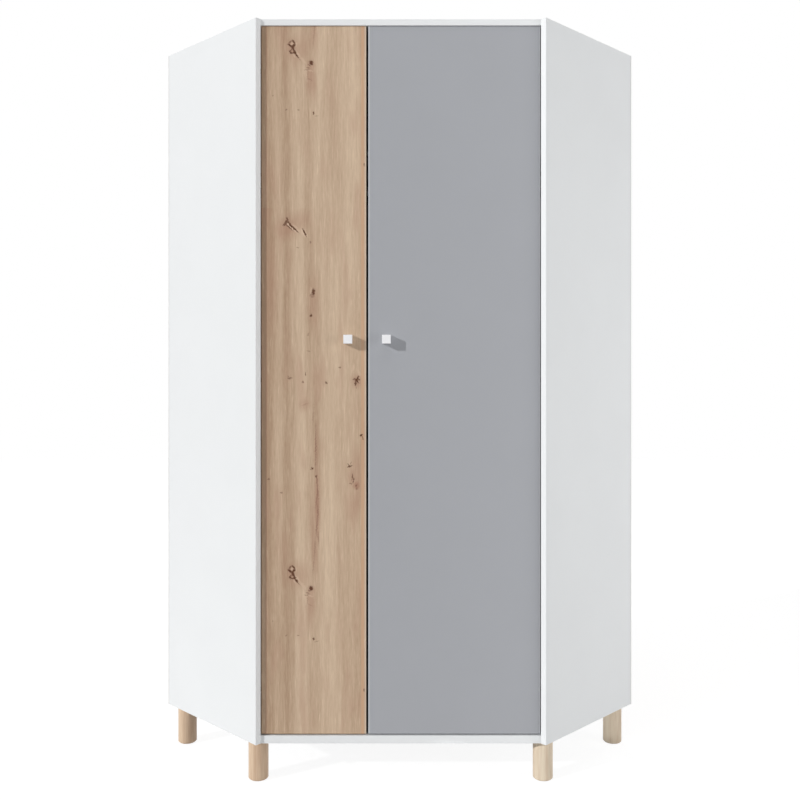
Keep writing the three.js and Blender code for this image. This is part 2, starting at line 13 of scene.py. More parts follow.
# %% Load the wardrobe
import json
import math

import bmesh
import bpy
from bmesh.types import BMEdge, BMFace, BMVert
from mathutils import Matrix, Vector


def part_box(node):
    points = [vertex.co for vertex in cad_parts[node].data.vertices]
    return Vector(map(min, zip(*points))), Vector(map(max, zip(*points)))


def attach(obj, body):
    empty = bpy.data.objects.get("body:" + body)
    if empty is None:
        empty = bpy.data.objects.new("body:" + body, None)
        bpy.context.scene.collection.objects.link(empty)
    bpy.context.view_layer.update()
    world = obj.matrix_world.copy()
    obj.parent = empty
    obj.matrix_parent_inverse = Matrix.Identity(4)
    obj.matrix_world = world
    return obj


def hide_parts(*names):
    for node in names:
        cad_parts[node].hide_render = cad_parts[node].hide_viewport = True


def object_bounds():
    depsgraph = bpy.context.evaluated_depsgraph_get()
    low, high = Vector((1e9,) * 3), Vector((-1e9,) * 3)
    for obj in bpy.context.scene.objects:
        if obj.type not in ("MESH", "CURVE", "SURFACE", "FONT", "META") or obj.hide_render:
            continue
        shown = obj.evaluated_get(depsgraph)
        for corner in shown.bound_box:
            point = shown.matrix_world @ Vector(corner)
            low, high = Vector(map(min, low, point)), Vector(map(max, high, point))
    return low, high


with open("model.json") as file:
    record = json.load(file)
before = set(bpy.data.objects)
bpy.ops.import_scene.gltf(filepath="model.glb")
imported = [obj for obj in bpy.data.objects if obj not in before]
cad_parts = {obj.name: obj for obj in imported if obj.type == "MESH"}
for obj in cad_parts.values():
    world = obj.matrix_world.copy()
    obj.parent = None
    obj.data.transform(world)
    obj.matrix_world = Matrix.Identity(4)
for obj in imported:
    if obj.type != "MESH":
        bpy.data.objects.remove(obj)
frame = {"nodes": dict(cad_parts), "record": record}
cad_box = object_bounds()
nodes = frame["nodes"]
MM = 0.001
SIDES = {"left": -1, "right": 1}
print("CAD nodes:", len(nodes), "box in mm:", [[round(v / MM) for v in corner] for corner in cad_box])

# %% [markdown]
# ## Camera
#
# A photographer lines up such a tall piece with a level camera, so that its uprights stay
# parallel, and shifts the lens instead of tilting it. The places of the edges in the photo give
# the focal length and the point where the camera's axis meets the picture. Both are written in
# pixels of the 800 pixel picture, and turned into Blender's lens and shift here. A camera that is
# moved about by eye comes close as well, but then no edge can be measured against the photo.

# %% Camera
PICTURE_PIXELS = 800
FOCAL_PIXELS = 926
AXIS_X_PIXEL = 392.1
AXIS_Y_PIXEL = 367.8
SENSOR_WIDTH = 36  # millimetres, as Blender counts a lens
CAMERA_X = -0.0226
CAMERA_HEIGHT = 1.0831
CAMERA_TO_CORNERS = 2.3907  # along Y, to the near corners of the side panels

near_corners_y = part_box("side_panel_left")[0].y
lens = bpy.data.cameras.new("camera")
lens.sensor_width = SENSOR_WIDTH
lens.lens = FOCAL_PIXELS / PICTURE_PIXELS * SENSOR_WIDTH
lens.shift_x = 0.5 - AXIS_X_PIXEL / PICTURE_PIXELS
lens.shift_y = AXIS_Y_PIXEL / PICTURE_PIXELS - 0.5
camera = bpy.data.objects.new("camera", lens)
camera.location = (CAMERA_X, near_corners_y - CAMERA_TO_CORNERS, CAMERA_HEIGHT)
camera.rotation_euler = (math.pi / 2, 0, 0)
bpy.context.scene.collection.objects.link(camera)
bpy.context.scene.camera = camera
bpy.context.scene.view_settings.view_transform = "Standard"
print("lens in mm:", round(lens.lens, 2), "shift:", round(lens.shift_x, 4), round(lens.shift_y, 4))

# %% [markdown]
# ## Helpers for node trees
#
# Every finish here is made of shader nodes. Placing nodes by hand in the editor is clear to the
# eye, but in a script each node takes several lines. A few short helpers keep the recipes
# readable: `put` adds a node and fills its inputs, and the others add the nodes that are needed
# most, such as one sum, one blend of colours or one noise.

# %% Node helpers
NOISE_RANGE = (0.3, 0.7)  # a noise hardly leaves it


def fill(tree, socket, value):
    """Gives an input a value, or links it if what it gets is another node's output."""
    if isinstance(value, bpy.types.NodeSocket):
        tree.links.new(value, socket)
    else:
        socket.default_value = value


def put(tree, kind, inputs=None, **options):
    """Adds a shader node, sets its options and fills its inputs."""
    node = tree.nodes.new("ShaderNode" + kind)
    for option, value in options.items():
        setattr(node, option, value)
    for name, value in (inputs or {}).items():
        fill(tree, node.inputs[name], value)
    return node


def calculate(tree, operation, *values):
    """The result of one sum."""
    return put(tree, "Math", dict(enumerate(values)), operation=operation).outputs["Value"]


def blend_colours(tree, share, first, second):
    """A blend of two colours. Share 0 gives the first one."""
    return put(tree, "Mix", {0: share, 6: first, 7: second}, data_type="RGBA").outputs[2]


def rescale(tree, value, low, high, to_low=0.0, to_high=1.0, how="SMOOTHSTEP"):
    """Stretches a range of values to another range, and holds what lies outside it."""
    inputs = {"Value": value, "From Min": low, "From Max": high, "To Min": to_low, "To Max": to_high}
    return put(tree, "MapRange", inputs, interpolation_type=how).outputs["Result"]


def noise(tree, vector, scale, detail, output="Fac"):
    """A noise with so many grains to the unit."""
    inputs = {"Vector": vector, "Scale": scale, "Detail": detail}
    return put(tree, "TexNoise", inputs).outputs[output]


def spread_noise(tree, value, to_low=0.0, to_high=1.0):
    """Spreads a noise evenly over a range."""
    return rescale(tree, value, *NOISE_RANGE, to_low, to_high, how="LINEAR")


def empty_tree(owner):
    """Turns on the nodes of a material or a world, and clears them away."""
    owner.use_nodes = True
    owner.node_tree.nodes.clear()
    return owner.node_tree


def paint(red, green, blue):
    """A colour given as 0 to 255 on a screen, made linear for a shader."""
    shares = [v / 255 for v in (red, green, blue)]
    return [v / 12.92 if v <= 0.04045 else ((v + 0.055) / 1.055) ** 2.4 for v in shares] + [1.0]


print("mid grey on a screen is", round(paint(128, 128, 128)[0], 3), "to a shader")

# %% [markdown]
# ## A white studio
#
# The wardrobe stands on plain white, as in a catalogue. Painting the background white by
# flooding it with light would wash out the white boards as well. So the sky and the floor are
# white only to rays that look at them: those of the camera, and those in a mirror or in glass.
# To all other rays they are a dim sky and an ordinary pale floor, which light the wardrobe
# gently. The floor that the camera sees is a glow with some real shading on top, so it keeps the
# soft shadow under the wardrobe.

# %% Sky and floor
SKY_LIGHT = 0.31
FLOOR_COLOUR = (0.67, 0.67, 0.67, 1.0)
FLOOR_GLOW = 0.885
FLOOR_SHADING = (0.22, 0.22, 0.22, 1.0)
FLOOR_HALF = 8.0
WHITE = (1.0, 1.0, 1.0, 1.0)


def lit_or_seen(tree, to_light, to_eye):
    """One shader for rays that carry light, and another for rays that look."""
    path = put(tree, "LightPath").outputs
    looking = calculate(tree, "MAXIMUM", path["Is Camera Ray"], path["Is Glossy Ray"])
    looking = calculate(tree, "MAXIMUM", looking, path["Is Transmission Ray"])
    return put(tree, "MixShader", {0: looking, 1: to_light, 2: to_eye}).outputs[0]


def make_object(bm, name, *finishes):
    """Turns a bmesh into an object at the origin, with its finishes."""
    mesh = bpy.data.meshes.new(name)
    bm.to_mesh(mesh)
    bm.free()
    for finish in finishes:
        mesh.materials.append(finish)
    thing = bpy.data.objects.new(name, mesh)
    bpy.context.scene.collection.objects.link(thing)
    return thing


world = bpy.data.worlds.new("studio")
bpy.context.scene.world = world
sky = empty_tree(world)
dim_sky, white_sky = (
    put(sky, "Background", {"Color": WHITE, "Strength": strength}).outputs[0]
    for strength in (SKY_LIGHT, 1.0)
)
put(sky, "OutputWorld", {"Surface": lit_or_seen(sky, dim_sky, white_sky)})

floor_finish = bpy.data.materials.new("floor")
tree = empty_tree(floor_finish)
pale_floor, shading = (
    put(tree, "BsdfDiffuse", {"Color": colour}).outputs[0] for colour in (FLOOR_COLOUR, FLOOR_SHADING)
)
glow = put(tree, "Emission", {"Color": WHITE, "Strength": FLOOR_GLOW}).outputs[0]
seen_floor = put(tree, "AddShader", {0: glow, 1: shading}).outputs[0]
put(tree, "OutputMaterial", {"Surface": lit_or_seen(tree, pale_floor, seen_floor)})

bm = bmesh.new()
bmesh.ops.create_grid(bm, x_segments=1, y_segments=1, size=FLOOR_HALF)
floor = make_object(bm, "floor", floor_finish)
print("floor is", 2 * FLOOR_HALF, "m wide, sky strength", SKY_LIGHT)

# %% [markdown]
# ## Lamps
#
# Two shadows in the photo tell where its main lamp is: each knob throws one to the right and
# down, and the left side panel throws a narrow band on the oak door. The ratio of the knob's
# stand to its shadow gives the direction, and the shadows' soft edges the lamp's size. A sun
# lamp does both with parallel rays. A wide soft lamp on the right fills the side that the sun
# doesn't reach, a second one hangs over the front, and a third one behind shows the back when
# the wardrobe is turned round. A narrow one near the floor shines in under the body, because in
# the photo the far leg on the right isn't in the dark.

# %% Lamps
SUN_DIRECTION = Vector((1.65, 1.0, -0.75))
FAR_LEG = (0.616, -0.184, 0.055)  # the middle of the far leg on the right
middle = (cad_box[0] + cad_box[1]) / 2
# Each lamp is name: (kind, strength, place, what it is aimed at, its own options)
LAMPS = {
    "sun": ("SUN", 2.05, middle - 3 * SUN_DIRECTION, middle, {"angle": math.radians(1)}),
    "fill": ("AREA", 46, (3.2, -1.9, 0.95), middle, {"size": 1.6, "size_y": 2.5}),
    "overhead": ("AREA", 17, (0, -1.2, 4.2), middle, {"size": 2.0, "size_y": 1.6}),
    "low": (
        "SPOT", 22, (-0.596, -0.884, 0.1), FAR_LEG,
        {"spot_size": math.radians(4.4), "shadow_soft_size": 0.02},
    ),
    "back": ("AREA", 40, (-0.6, 3.6, 2.0), middle, {"size": 2.4, "size_y": 2.4}),
}
for name, (kind, strength, place, aim, options) in LAMPS.items():
    light = bpy.data.lights.new(name, kind)
    light.energy = strength
    if kind == "AREA":
        light.shape = "RECTANGLE"
    for option, value in options.items():
        setattr(light, option, value)
    lamp = bpy.data.objects.new(name, light)
    lamp.location = place
    lamp.rotation_euler = (Vector(aim) - Vector(place)).to_track_quat("-Z", "Y").to_euler()
    lamp.visible_camera = False
    bpy.context.scene.collection.objects.link(lamp)
print("lamps:", *LAMPS)

# %% [markdown]
# ## Shared effects
#
# Several finishes need the same effects: the fine pebble that a press plate leaves on melamine,
# the long fibres of wood, and the marks of knots. Each is built once as a node group with named
# inputs, like a tool with a few dials, and placed in each material with its own settings. A
# group only gives values over the surface. The shader itself stays in the material.

# %% A builder for node groups
ORIGIN = (0.0, 0.0, 0.0)


def new_group(name, **dials):
    """Starts a node group. A dial whose default is a tuple is a vector, and any other a number."""
    tree = bpy.data.node_groups.new(name, "ShaderNodeTree")
    for label, default in dials.items():
        kind = "NodeSocketVector" if isinstance(default, tuple) else "NodeSocketFloat"
        socket = tree.interface.new_socket(name=label, in_out="INPUT", socket_type=kind)
        socket.default_value = default
    return tree, tree.nodes.new("NodeGroupInput").outputs


def end_group(tree, **results):
    """Ends a node group with the numbers that it gives."""
    for label in results:
        tree.interface.new_socket(name=label, in_out="OUTPUT", socket_type="NodeSocketFloat")
    last = tree.nodes.new("NodeGroupOutput")
    for label, value in results.items():
        fill(tree, last.inputs[label], value)
    print("made", tree.name)
    return tree


def use_group(tree, group, **dials):
    """Places a node group in a tree and returns its outputs."""
    return put(tree, "Group", dials, node_tree=group).outputs


print("node groups can be made")

# %% [markdown]
# ### Pressed surface
#
# Melamine board is pressed against a steel plate with a fine pebble, which turns a mirror into a
# satin sheen. A picture of the pebble would repeat, and would blur from close by. Its grains are
# under a millimetre, so a noise at that size, used as a slight bump, does it without either. A
# second, slow noise varies the sheen, as hands and polish do.

# %% Pressed surface
SLOW_SCALE = 0.006
SHEEN_SWING = 0.24


def make_pressed_surface():
    tree, given = new_group("pressed_surface", Vector=ORIGIN, Grain=0.8, Sheen=0.45)
    pebble = noise(tree, given["Vector"], calculate(tree, "DIVIDE", 1.0, given["Grain"]), 1.0)
    slow = noise(tree, given["Vector"], SLOW_SCALE, 3.0)
    swing = calculate(tree, "SUBTRACT", slow, 0.5)
    sheen = calculate(tree, "MULTIPLY_ADD", swing, SHEEN_SWING, given["Sheen"])
    return end_group(tree, Height=pebble, Roughness=sheen, Tone=spread_noise(tree, slow))


pressed_surface = make_pressed_surface()

# %% [markdown]
# ### Wood fibres
#
# Wood is a bundle of fibres: its colour changes quickly across the grain and slowly along it.
# A Wave texture draws stripes too, but they are as even as combed sand. A noise gets nearer, if
# space is squeezed along the grain before it is read. The group takes the width and the length
# of a streak in millimetres, so the same group makes hair-fine fibres and broad bands.

# %% Wood fibres
def make_fibres():
    tree, given = new_group("wood_fibres", Vector=ORIGIN, Width=4.0, Length=90.0, Offset=0.0)
    parts = put(tree, "SeparateXYZ", {"Vector": given["Vector"]}).outputs
    across = calculate(tree, "DIVIDE", parts["X"], given["Width"])
    across = calculate(tree, "ADD", across, given["Offset"])
    deep = calculate(tree, "DIVIDE", parts["Y"], given["Width"])
    along = calculate(tree, "DIVIDE", parts["Z"], given["Length"])
    squeezed = put(tree, "CombineXYZ", {"X": across, "Y": deep, "Z": along}).outputs[0]
    return end_group(tree, Value=noise(tree, squeezed, 1.0, 2.0))


wood_fibres = make_fibres()

# %% [markdown]
# ### Marks
#
# Knots, cracks, stains and pale streaks are all soft ellipses of different shapes: round for a
# knot, thin as a hair for a crack. A Voronoi texture would scatter such spots as well, but not
# where the real print has them. A Mapping node of the texture kind moves a point into the
# ellipse's own space, where its edge is at a distance of 1. Each copy of the group keeps the
# strongest mark so far, so a chain of copies draws a whole list. The strongest mark so far is
# also added to the point's Y, where it changes nothing, because a print is flat. It makes each
# mark wait for the one before, so that a long list needs no more of the renderer's memory than
# a short one.

# %% Marks
DEEP = 1e4  # millimetres, for marks that run through the whole thickness


def make_mark():
    tree, given = new_group(
        "mark", Vector=ORIGIN, Centre=ORIGIN, Reach=(1.0, 1.0, 1.0), Lean=ORIGIN, Strength=1.0,
        Soft=0.4, Before=0.0,
    )
    lifted = put(tree, "CombineXYZ", {"Y": given["Before"]}).outputs[0]
    waiting = put(tree, "VectorMath", {0: given["Vector"], 1: lifted}, operation="ADD").outputs[0]
    place = {"Location": given["Centre"], "Rotation": given["Lean"], "Scale": given["Reach"]}
    own_space = put(tree, "Mapping", {"Vector": waiting, **place}, vector_type="TEXTURE").outputs[0]
    away = put(tree, "VectorMath", {0: own_space}, operation="LENGTH").outputs["Value"]
    outside = calculate(tree, "ADD", 1.0, given["Soft"])
    inside = calculate(tree, "SUBTRACT", 1.0, given["Soft"])
    mark = calculate(tree, "MULTIPLY", rescale(tree, away, outside, inside), given["Strength"])
    return end_group(tree, Strongest=calculate(tree, "MAXIMUM", mark, given["Before"]))


def draw_marks(tree, vector, marks, soft=0.4):
    """Chains one mark for each (x, z, half width, half height, lean in degrees, strength)."""
    strongest = 0.0
    for x, z, half_width, half_height, lean, strength in marks:
        strongest = use_group(
            tree, mark_group, Vector=vector, Centre=(x, 0, z), Reach=(half_width, DEEP, half_height),
            Lean=(0, math.radians(lean), 0), Strength=strength, Soft=soft, Before=strongest,
        )["Strongest"]
    return strongest


mark_group = make_mark()

# %% [markdown]
# ## Finishes
#
# A finish is one material with a Principled shader. Values that are the same all over, such as
# how metallic it is, are set on the shader itself. Only what changes over the surface comes
# through nodes. All patterns are read in Object coordinates. The objects sit at the origin, so
# these are metres in the wardrobe's own frame, and a door takes its pattern along as it turns.

# %% Start of every finish
def new_finish(name, specular=0.5, metallic=0.0):
    """A material with a Principled shader, and what is the same all over it."""
    material = bpy.data.materials.new(name)
    tree = empty_tree(material)
    shader = put(tree, "BsdfPrincipled", {"Specular IOR Level": specular, "Metallic": metallic})
    put(tree, "OutputMaterial", {"Surface": shader.outputs["BSDF"]})
    return material, tree, shader


def millimetres(tree, origin=ORIGIN):
    """Object coordinates in millimetres, counted from a point of the wardrobe."""
    place = put(tree, "TexCoord").outputs["Object"]
    inputs = {"Vector": place, "Location": origin, "Scale": (MM, MM, MM)}
    return put(tree, "Mapping", inputs, vector_type="TEXTURE").outputs[0]


def connect(tree, shader, colour, roughness, height, depth):
    """Links what changes over the surface to the shader. Depth is the bump's height in metres."""
    inputs = {"Strength": 1.0, "Distance": depth, "Height": height}
    bump = put(tree, "Bump", inputs).outputs["Normal"]
    for label, value in {"Base Color": colour, "Roughness": roughness, "Normal": bump}.items():
        fill(tree, shader.inputs[label], value)


print("finishes can be made")

# %% [markdown]
# ### White and grey boards
#
# Both are chipboard under pressed melamine paper. The inner side of the back sheets, the caps,
# the knobs and the glides are smooth in the same way. Each could have a material of its own, but
# they only differ in colour, sheen and grain, so one recipe with these three makes them all. The
# tone drifts by a few thousandths, too little to see as a pattern, but enough that a large panel
# isn't dead. A hair of paler colour along both uprights of the grey door is painted light: a
# painted highlight at the free edge, and at the hinge edge it lifts the shade beside the gap.

# %% Melamine
TONE_DRIFT = 0.985
PEBBLE_DEPTH = 0.00002
FREE_EDGE_HIGHLIGHT = 3.3  # millimetres of painted highlight along the grey door's free edge
HINGE_EDGE_HIGHLIGHT = 1.6  # and of painted light along its hinge edge, against the shade there
STRIP_FADE = 1.15  # how many times its width a strip reaches before it is gone


def box_of(node):
    """The lowest and the highest corner of a node's box, in millimetres."""
    low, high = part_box(node)
    return low / MM, high / MM


def scaled(colour, share):
    """A colour times a share."""
    return [v * share for v in colour[:3]] + [1.0]


def melamine(name, colour, sheen, grain=0.8, strips=(), highlight_colour=None):
    """Each strip is painted light, from full colour at one place along X to nothing at another, in
    millimetres.
    """
    material, tree, shader = new_finish(name, specular=0.4)
    surface = use_group(tree, pressed_surface, Vector=millimetres(tree), Grain=grain, Sheen=sheen)
    tinted = blend_colours(tree, surface["Tone"], colour, scaled(colour, TONE_DRIFT))
    for full, gone in strips:
        across = put(tree, "SeparateXYZ", {"Vector": millimetres(tree)}).outputs["X"]
        tinted = blend_colours(tree, rescale(tree, across, gone, full), tinted, highlight_colour)
    connect(tree, shader, tinted, surface["Roughness"], surface["Height"], PEBBLE_DEPTH)
    return material


free_edge, hinge_edge = (corner.x for corner in box_of("door_right"))
# Painted highlight along the free edge, and painted light against the shade at the hinge edge
grey_edge_highlights = (
    (free_edge + FREE_EDGE_HIGHLIGHT, free_edge + STRIP_FADE * FREE_EDGE_HIGHLIGHT),
    (hinge_edge - HINGE_EDGE_HIGHLIGHT, hinge_edge - STRIP_FADE * HINGE_EDGE_HIGHLIGHT),
)
white_melamine = melamine("white_melamine", paint(240, 242, 243), 0.48)
grey_melamine = melamine(
    "grey_melamine", paint(170, 172, 177), 0.5, strips=grey_edge_highlights, highlight_colour=paint(194, 196, 200)
)
sheet_white = melamine("sheet_white", paint(232, 232, 230), 0.6, grain=1.6)
cap_plastic = melamine("cap_plastic", paint(236, 236, 233), 0.35, grain=0.5)
knob_lacquer = melamine("knob_lacquer", paint(250, 250, 252), 0.4, grain=0.6)
nylon = melamine("nylon", paint(140, 141, 143), 0.6, grain=0.6)
print("melamine and plastic finishes made")

# %% [markdown]
# ### Knotty oak
#
# The narrow door is printed with knotty oak. Under its knots and cracks lie broad growth bands,
# narrower streaks, fine fibres and short hairs. Their middle colours run from brown beige to a
# pale sand, with a rosy tint in places. The usual way would be a scan of such a board. Drawing it
# from noises and marks is slower, but it stays sharp at any distance, and each knot can sit where
# the real print has it.
#
# The print comes off a roller, so it repeats: the knot low on the door comes back 1366 mm higher
# up. One list of marks therefore serves twice, after the height is wrapped round the roller. All
# marks are in millimetres from the door's lower left corner, with the height wrapped. Before the
# marks are drawn, a fine noise shakes the space a little, which frays their edges as real knots
# are frayed.

# %% Marks of the oak print
ROLLER_REPEAT = 1365.5
TALL = 2600  # millimetres, for marks that run past both ends of the door
# Each mark is (x, z, half width, half height, lean, strength). A positive lean tips its top right.
KNOTS = [
    # Two-lobed knot: a diamond, a joint and a lower loop, drawn as strokes
    (74.2, 432.6, 2.1, 6.0, 42, 0.6), (83.2, 432.4, 2.4, 6.6, -40, 0.9),
    (73.4, 423.4, 2.7, 6.6, -55, 1.0), (83.0, 423.0, 3.2, 6.2, 38, 1.0),
    (81.6, 414.8, 3.2, 8.6, -28, 1.0), (75.6, 410.8, 1.8, 5.0, 52, 0.7),
    (74.2, 406.8, 2.6, 4.4, -40, 0.95), (79.6, 403.4, 2.0, 5.4, 80, 0.85),
    (85.6, 405.6, 3.4, 4.4, -30, 1.0), (69.5, 427.0, 1.7, 3.4, 75, 0.6),
    # Its crack, and the round knot beside it
    (90.4, 397.8, 2.0, 9.2, -36, 1.0), (98.0, 388.5, 1.1, 4.5, -40, 0.3),
    (128.5, 378.0, 4.8, 6.0, -25, 1.0), (124.0, 371.5, 3.4, 1.8, 30, 0.6),
    (120.5, 365.5, 5.5, 1.4, 10, 0.5), (118.0, 360.5, 8.0, 1.1, -4, 0.4),
    # Long diagonal crack with its blot
    (66.5, 1338.0, 2.4, 5.0, -35, 0.9), (63.5, 1329.0, 3.6, 8.0, 28, 0.85),
    (59.5, 1323.5, 4.8, 3.4, -30, 0.8), (71.0, 1328.0, 2.2, 7.0, -40, 0.85),
    (81.5, 1315.5, 2.0, 19.0, -48, 1.0), (72.5, 1315.5, 1.4, 12.5, -49, 0.9),
    (111.0, 1303.0, 1.9, 11.0, -27, 1.0), (126.5, 1278.0, 1.5, 3.0, -10, 0.5),
    (94.0, 1263.0, 4.5, 1.1, 0, 0.4),
    # Oval knot in the middle, and the dot below it
    (134.2, 1148.5, 4.0, 8.6, 0, 0.95), (129.0, 1142.0, 2.6, 5.0, 40, 0.45),
    (132.0, 1136.0, 5.0, 3.0, 0, 0.35), (128, 1087, 2.8, 3.6, 0, 0.95),
    # Star near the free edge
    (246.0, 918.5, 4.6, 5.6, 0, 0.75), (247.5, 921.5, 2.6, 9.5, 30, 1.0),
    (246.5, 917.5, 2.3, 9.0, -42, 1.0), (244.0, 909.5, 2.8, 5.4, 5, 0.9),
    (253.0, 920.5, 4.5, 1.6, 10, 0.8), (239.0, 921.0, 4.0, 1.4, -15, 0.6),
    (245.5, 900.0, 1.3, 4.0, 0, 0.4),
]
SMALL_KNOTS = [
    (73, 924, 5.4, 2.6, -10, 0.6), (70, 928, 1.4, 3.4, -50, 0.4), (114, 935, 1.5, 5.0, 0, 0.8),
    (107, 914, 2.6, 2.8, 0, 0.65), (168, 912, 2.4, 3.6, -30, 0.7), (203, 952, 3.4, 1.6, -20, 0.6),
    (259, 776, 4.6, 2.4, -42, 1.0), (262, 770, 1.6, 6.0, -20, 0.6), (229, 695, 6.0, 2.6, -18, 0.9),
    (226, 699, 1.4, 4.5, -40, 0.6), (232, 704, 1.3, 4.0, 30, 0.45), (131.5, 690, 3.6, 2.4, 20, 1.0),
    (127.5, 687, 2.6, 1.2, 40, 0.5), (141.5, 669, 2.4, 2.6, 0, 0.85),
    (235.5, 668, 1.5, 8.5, 6, 0.8), (238.5, 659, 1.5, 7.0, 12, 0.75),
    (245.5, 645, 4.6, 1.6, -50, 0.55), (231.5, 650.5, 4.0, 1.5, 20, 0.5),
    (247, 637, 2.0, 4.0, 0, 0.4), (18, 662, 3.2, 2.0, -30, 0.6), (51, 627, 3.2, 2.4, 0, 0.5),
    (135, 247, 2.2, 3.6, 0, 0.9), (143, 240, 6.0, 0.9, -12, 0.35), (64, 256, 3.4, 1.8, -25, 0.5),
    (95, 256, 3.0, 1.6, 5, 0.45), (266.5, 114, 2.4, 4.4, 0, 0.7), (29, 293, 2.0, 2.0, 0, 0.3),
    (121, 1038, 2.0, 4.6, 25, 0.3), (122, 994, 4.6, 1.8, 10, 0.3),
]
# Pale rims round the larger knots
RIMS = [
    (78.5, 428, 3.0, 3.4, 0, 0.5), (90.5, 427, 2.2, 5.5, 0, 0.4), (85.0, 396, 2.2, 4.5, -30, 0.35),
    (93, 403, 3.0, 12, -38, 0.45), (107, 385, 3.5, 12, -38, 0.35), (113, 352, 4.0, 22, -12, 0.4),
    (127, 358, 7.0, 2.0, 10, 0.35), (128, 1150, 3.0, 11.0, 0, 0.35), (77, 1316, 2.6, 18, -48, 0.9),
    (91, 1313, 3.4, 16, -44, 0.4), (107, 1302, 2.2, 11, -27, 0.8), (116, 1300, 2.6, 11, -27, 0.4),
    (238, 950, 3.0, 10.0, 15, 0.45), (253, 938, 3.0, 9.0, -20, 0.35),
]
# Stains of the print, and one reddish line of painted shade colour
STAINS_AND_SHADE_TINT = [
    (79, 417, 13, 24, -10, 0.55), (95, 412, 28, 32, 0, 0.4), (127, 372, 11, 14, 0, 0.5),
    (127, 340, 12, 42, 0, 0.5), (70, 1316, 34, 26, -30, 0.5), (96, 1330, 30, 22, -40, 0.4),
    (134, 1144, 9, 16, 0, 0.45), (135, 1120, 14, 60, 0, 0.35), (247, 916, 13, 18, 0, 0.5),
    (247, 645, 9, 12, 0, 0.9), (236, 668, 12, 26, 0, 0.5), (250, 676, 14, 62, -6, 0.4),
    (246, 600, 12, 50, 8, 0.4), (263, 740, 5, 80, 0, 0.5), (142, 730, 6, 66, 2, 0.35),
    # The reddish line at 11.5 mm is painted shade colour, where the side panel's shadow ends on the
    # door
    (144, 590, 7, 90, 0, 0.65), (136, 500, 9, 90, -3, 0.4), (11.5, 680, 2.2, TALL, 0, 0.35),
    (8, 1360, 14, 60, 0, 0.45), (58, 470, 14, 60, 0, 0.25), (24, 1170, 16, 110, 0, 0.3),
    (112, 855, 14, 14, -40, 0.35),
]
THREADS = [
    (134, 829, 1.6, 24, 2, 0.35), (140.5, 742, 1.5, 56, 0, 0.7), (143.5, 660, 1.6, 12, -3, 0.7),
    (145.5, 630, 1.7, 22, -3, 0.65), (142.5, 605, 1.4, 18, 5, 0.5), (146, 575, 1.7, 24, 0, 0.65),
    (143, 538, 1.6, 24, 4, 0.6), (147, 508, 1.4, 16, -4, 0.45), (138, 478, 1.6, 26, 3, 0.4),
    (135, 440, 1.5, 24, 5, 0.3), (113, 856, 8, 1.4, -20, 0.3), (125, 335, 7, 1.3, 25, 0.35),
    (119, 344, 1.4, 12, 12, 0.3),
]
print("knots on one turn of the roller, in strokes:", len(KNOTS) + len(SMALL_KNOTS))

# %% [markdown]
# The bands are listed one by one as well, because a few of them give this print its character: a
# darker left edge, paler sand towards the right, and a warm amber stripe close to the free edge.
# They run the whole height, so they are marks far taller than the door.

# %% Bands of the oak print
PALE_BANDS = [
    (38, 900, 10, TALL, 0, 0.35), (104, 900, 12, TALL, 0, 0.6), (160, 1500, 13, 900, 0, 0.7),
    (185, 900, 40, TALL, 0, 0.5), (228, 1400, 24, 1000, 0, 0.75),
]
DARK_BANDS = [
    (6, 900, 32, TALL, 0, 1.15), (63, 1500, 12, 1000, 0, 0.9), (70, 500, 18, 600, 0, 0.45),
    (122, 1400, 11, 900, 0, 0.45), (140, 600, 16, 420, 0, 0.5), (250, 400, 14, 600, 0, 0.4),
]
AMBER_BANDS = [
    (262.3, 900, 3.9, TALL, 0, 0.75),
]
print("bands:", len(PALE_BANDS + DARK_BANDS + AMBER_BANDS))

# %% [markdown]
# Bands and fibres are added up to one number, the lightness, and it picks a colour between three
# middle tones of the wood. What a printer would lay over it comes next, one ink after the other:
# the rosy tint, the stains, the amber stripe, the fine threads, the pale rims and the dark knots.
# Among the stains lies a reddish line of painted shade colour where the side panel's shadow ends,
# and last comes a painted highlight along the free edge.

# %% Oak finish
OAK_DARK = paint(174, 145, 119)
OAK_MIDDLE = paint(199, 173, 147)
OAK_PALE = paint(219, 195, 168)
# Each layer of fibres is name: (width, length, offset), in millimetres and in widths
OAK_LAYERS = {
    "broad": (44.0, 900.0, 9.2), "streaks": (11.0, 220.0, 8.1), "fine": (3.4, 55.0, 1.3),
    "hairs": (2.0, 18.0, 6.4), "tint": (36.0, 170.0, 5.5),
}
# And how far each of them sways the lightness
OAK_WEIGHTS = {"broad": 1.0, "streaks": 0.6, "fine": 0.65, "hairs": 0.5}
PALE_LIFT = 0.28
DARK_DROP = -0.34
GLINTS = (0.62, 0.72, 0.0, 0.22)  # fine fibres over 0.62 brighten, and from 0.72 on by 0.22
ROSY_SPOTS = (0.5, 0.72, 0.0, 0.4)  # the same for the rosy tint
OAK_EDGE_HIGHLIGHT = (267.0, 268.2, 0.0, 0.8)  # and, along X, for the painted highlight at the free edge
PRINT_START = 1.0  # millimetres from the door's edge to the first of the print
OAK_DEPTH = 0.00004


def shaken(tree, vector, scale, reach):
    """Moves points about by a noise, up to half of each reach in millimetres."""
    shake = noise(tree, vector, scale, 2.0, "Color")
    centred = put(tree, "VectorMath", {0: shake, 1: (0.5, 0.5, 0.5)}, operation="SUBTRACT").outputs[0]
    inputs = {0: centred, 1: reach, 2: vector}
    return put(tree, "VectorMath", inputs, operation="MULTIPLY_ADD").outputs[0]


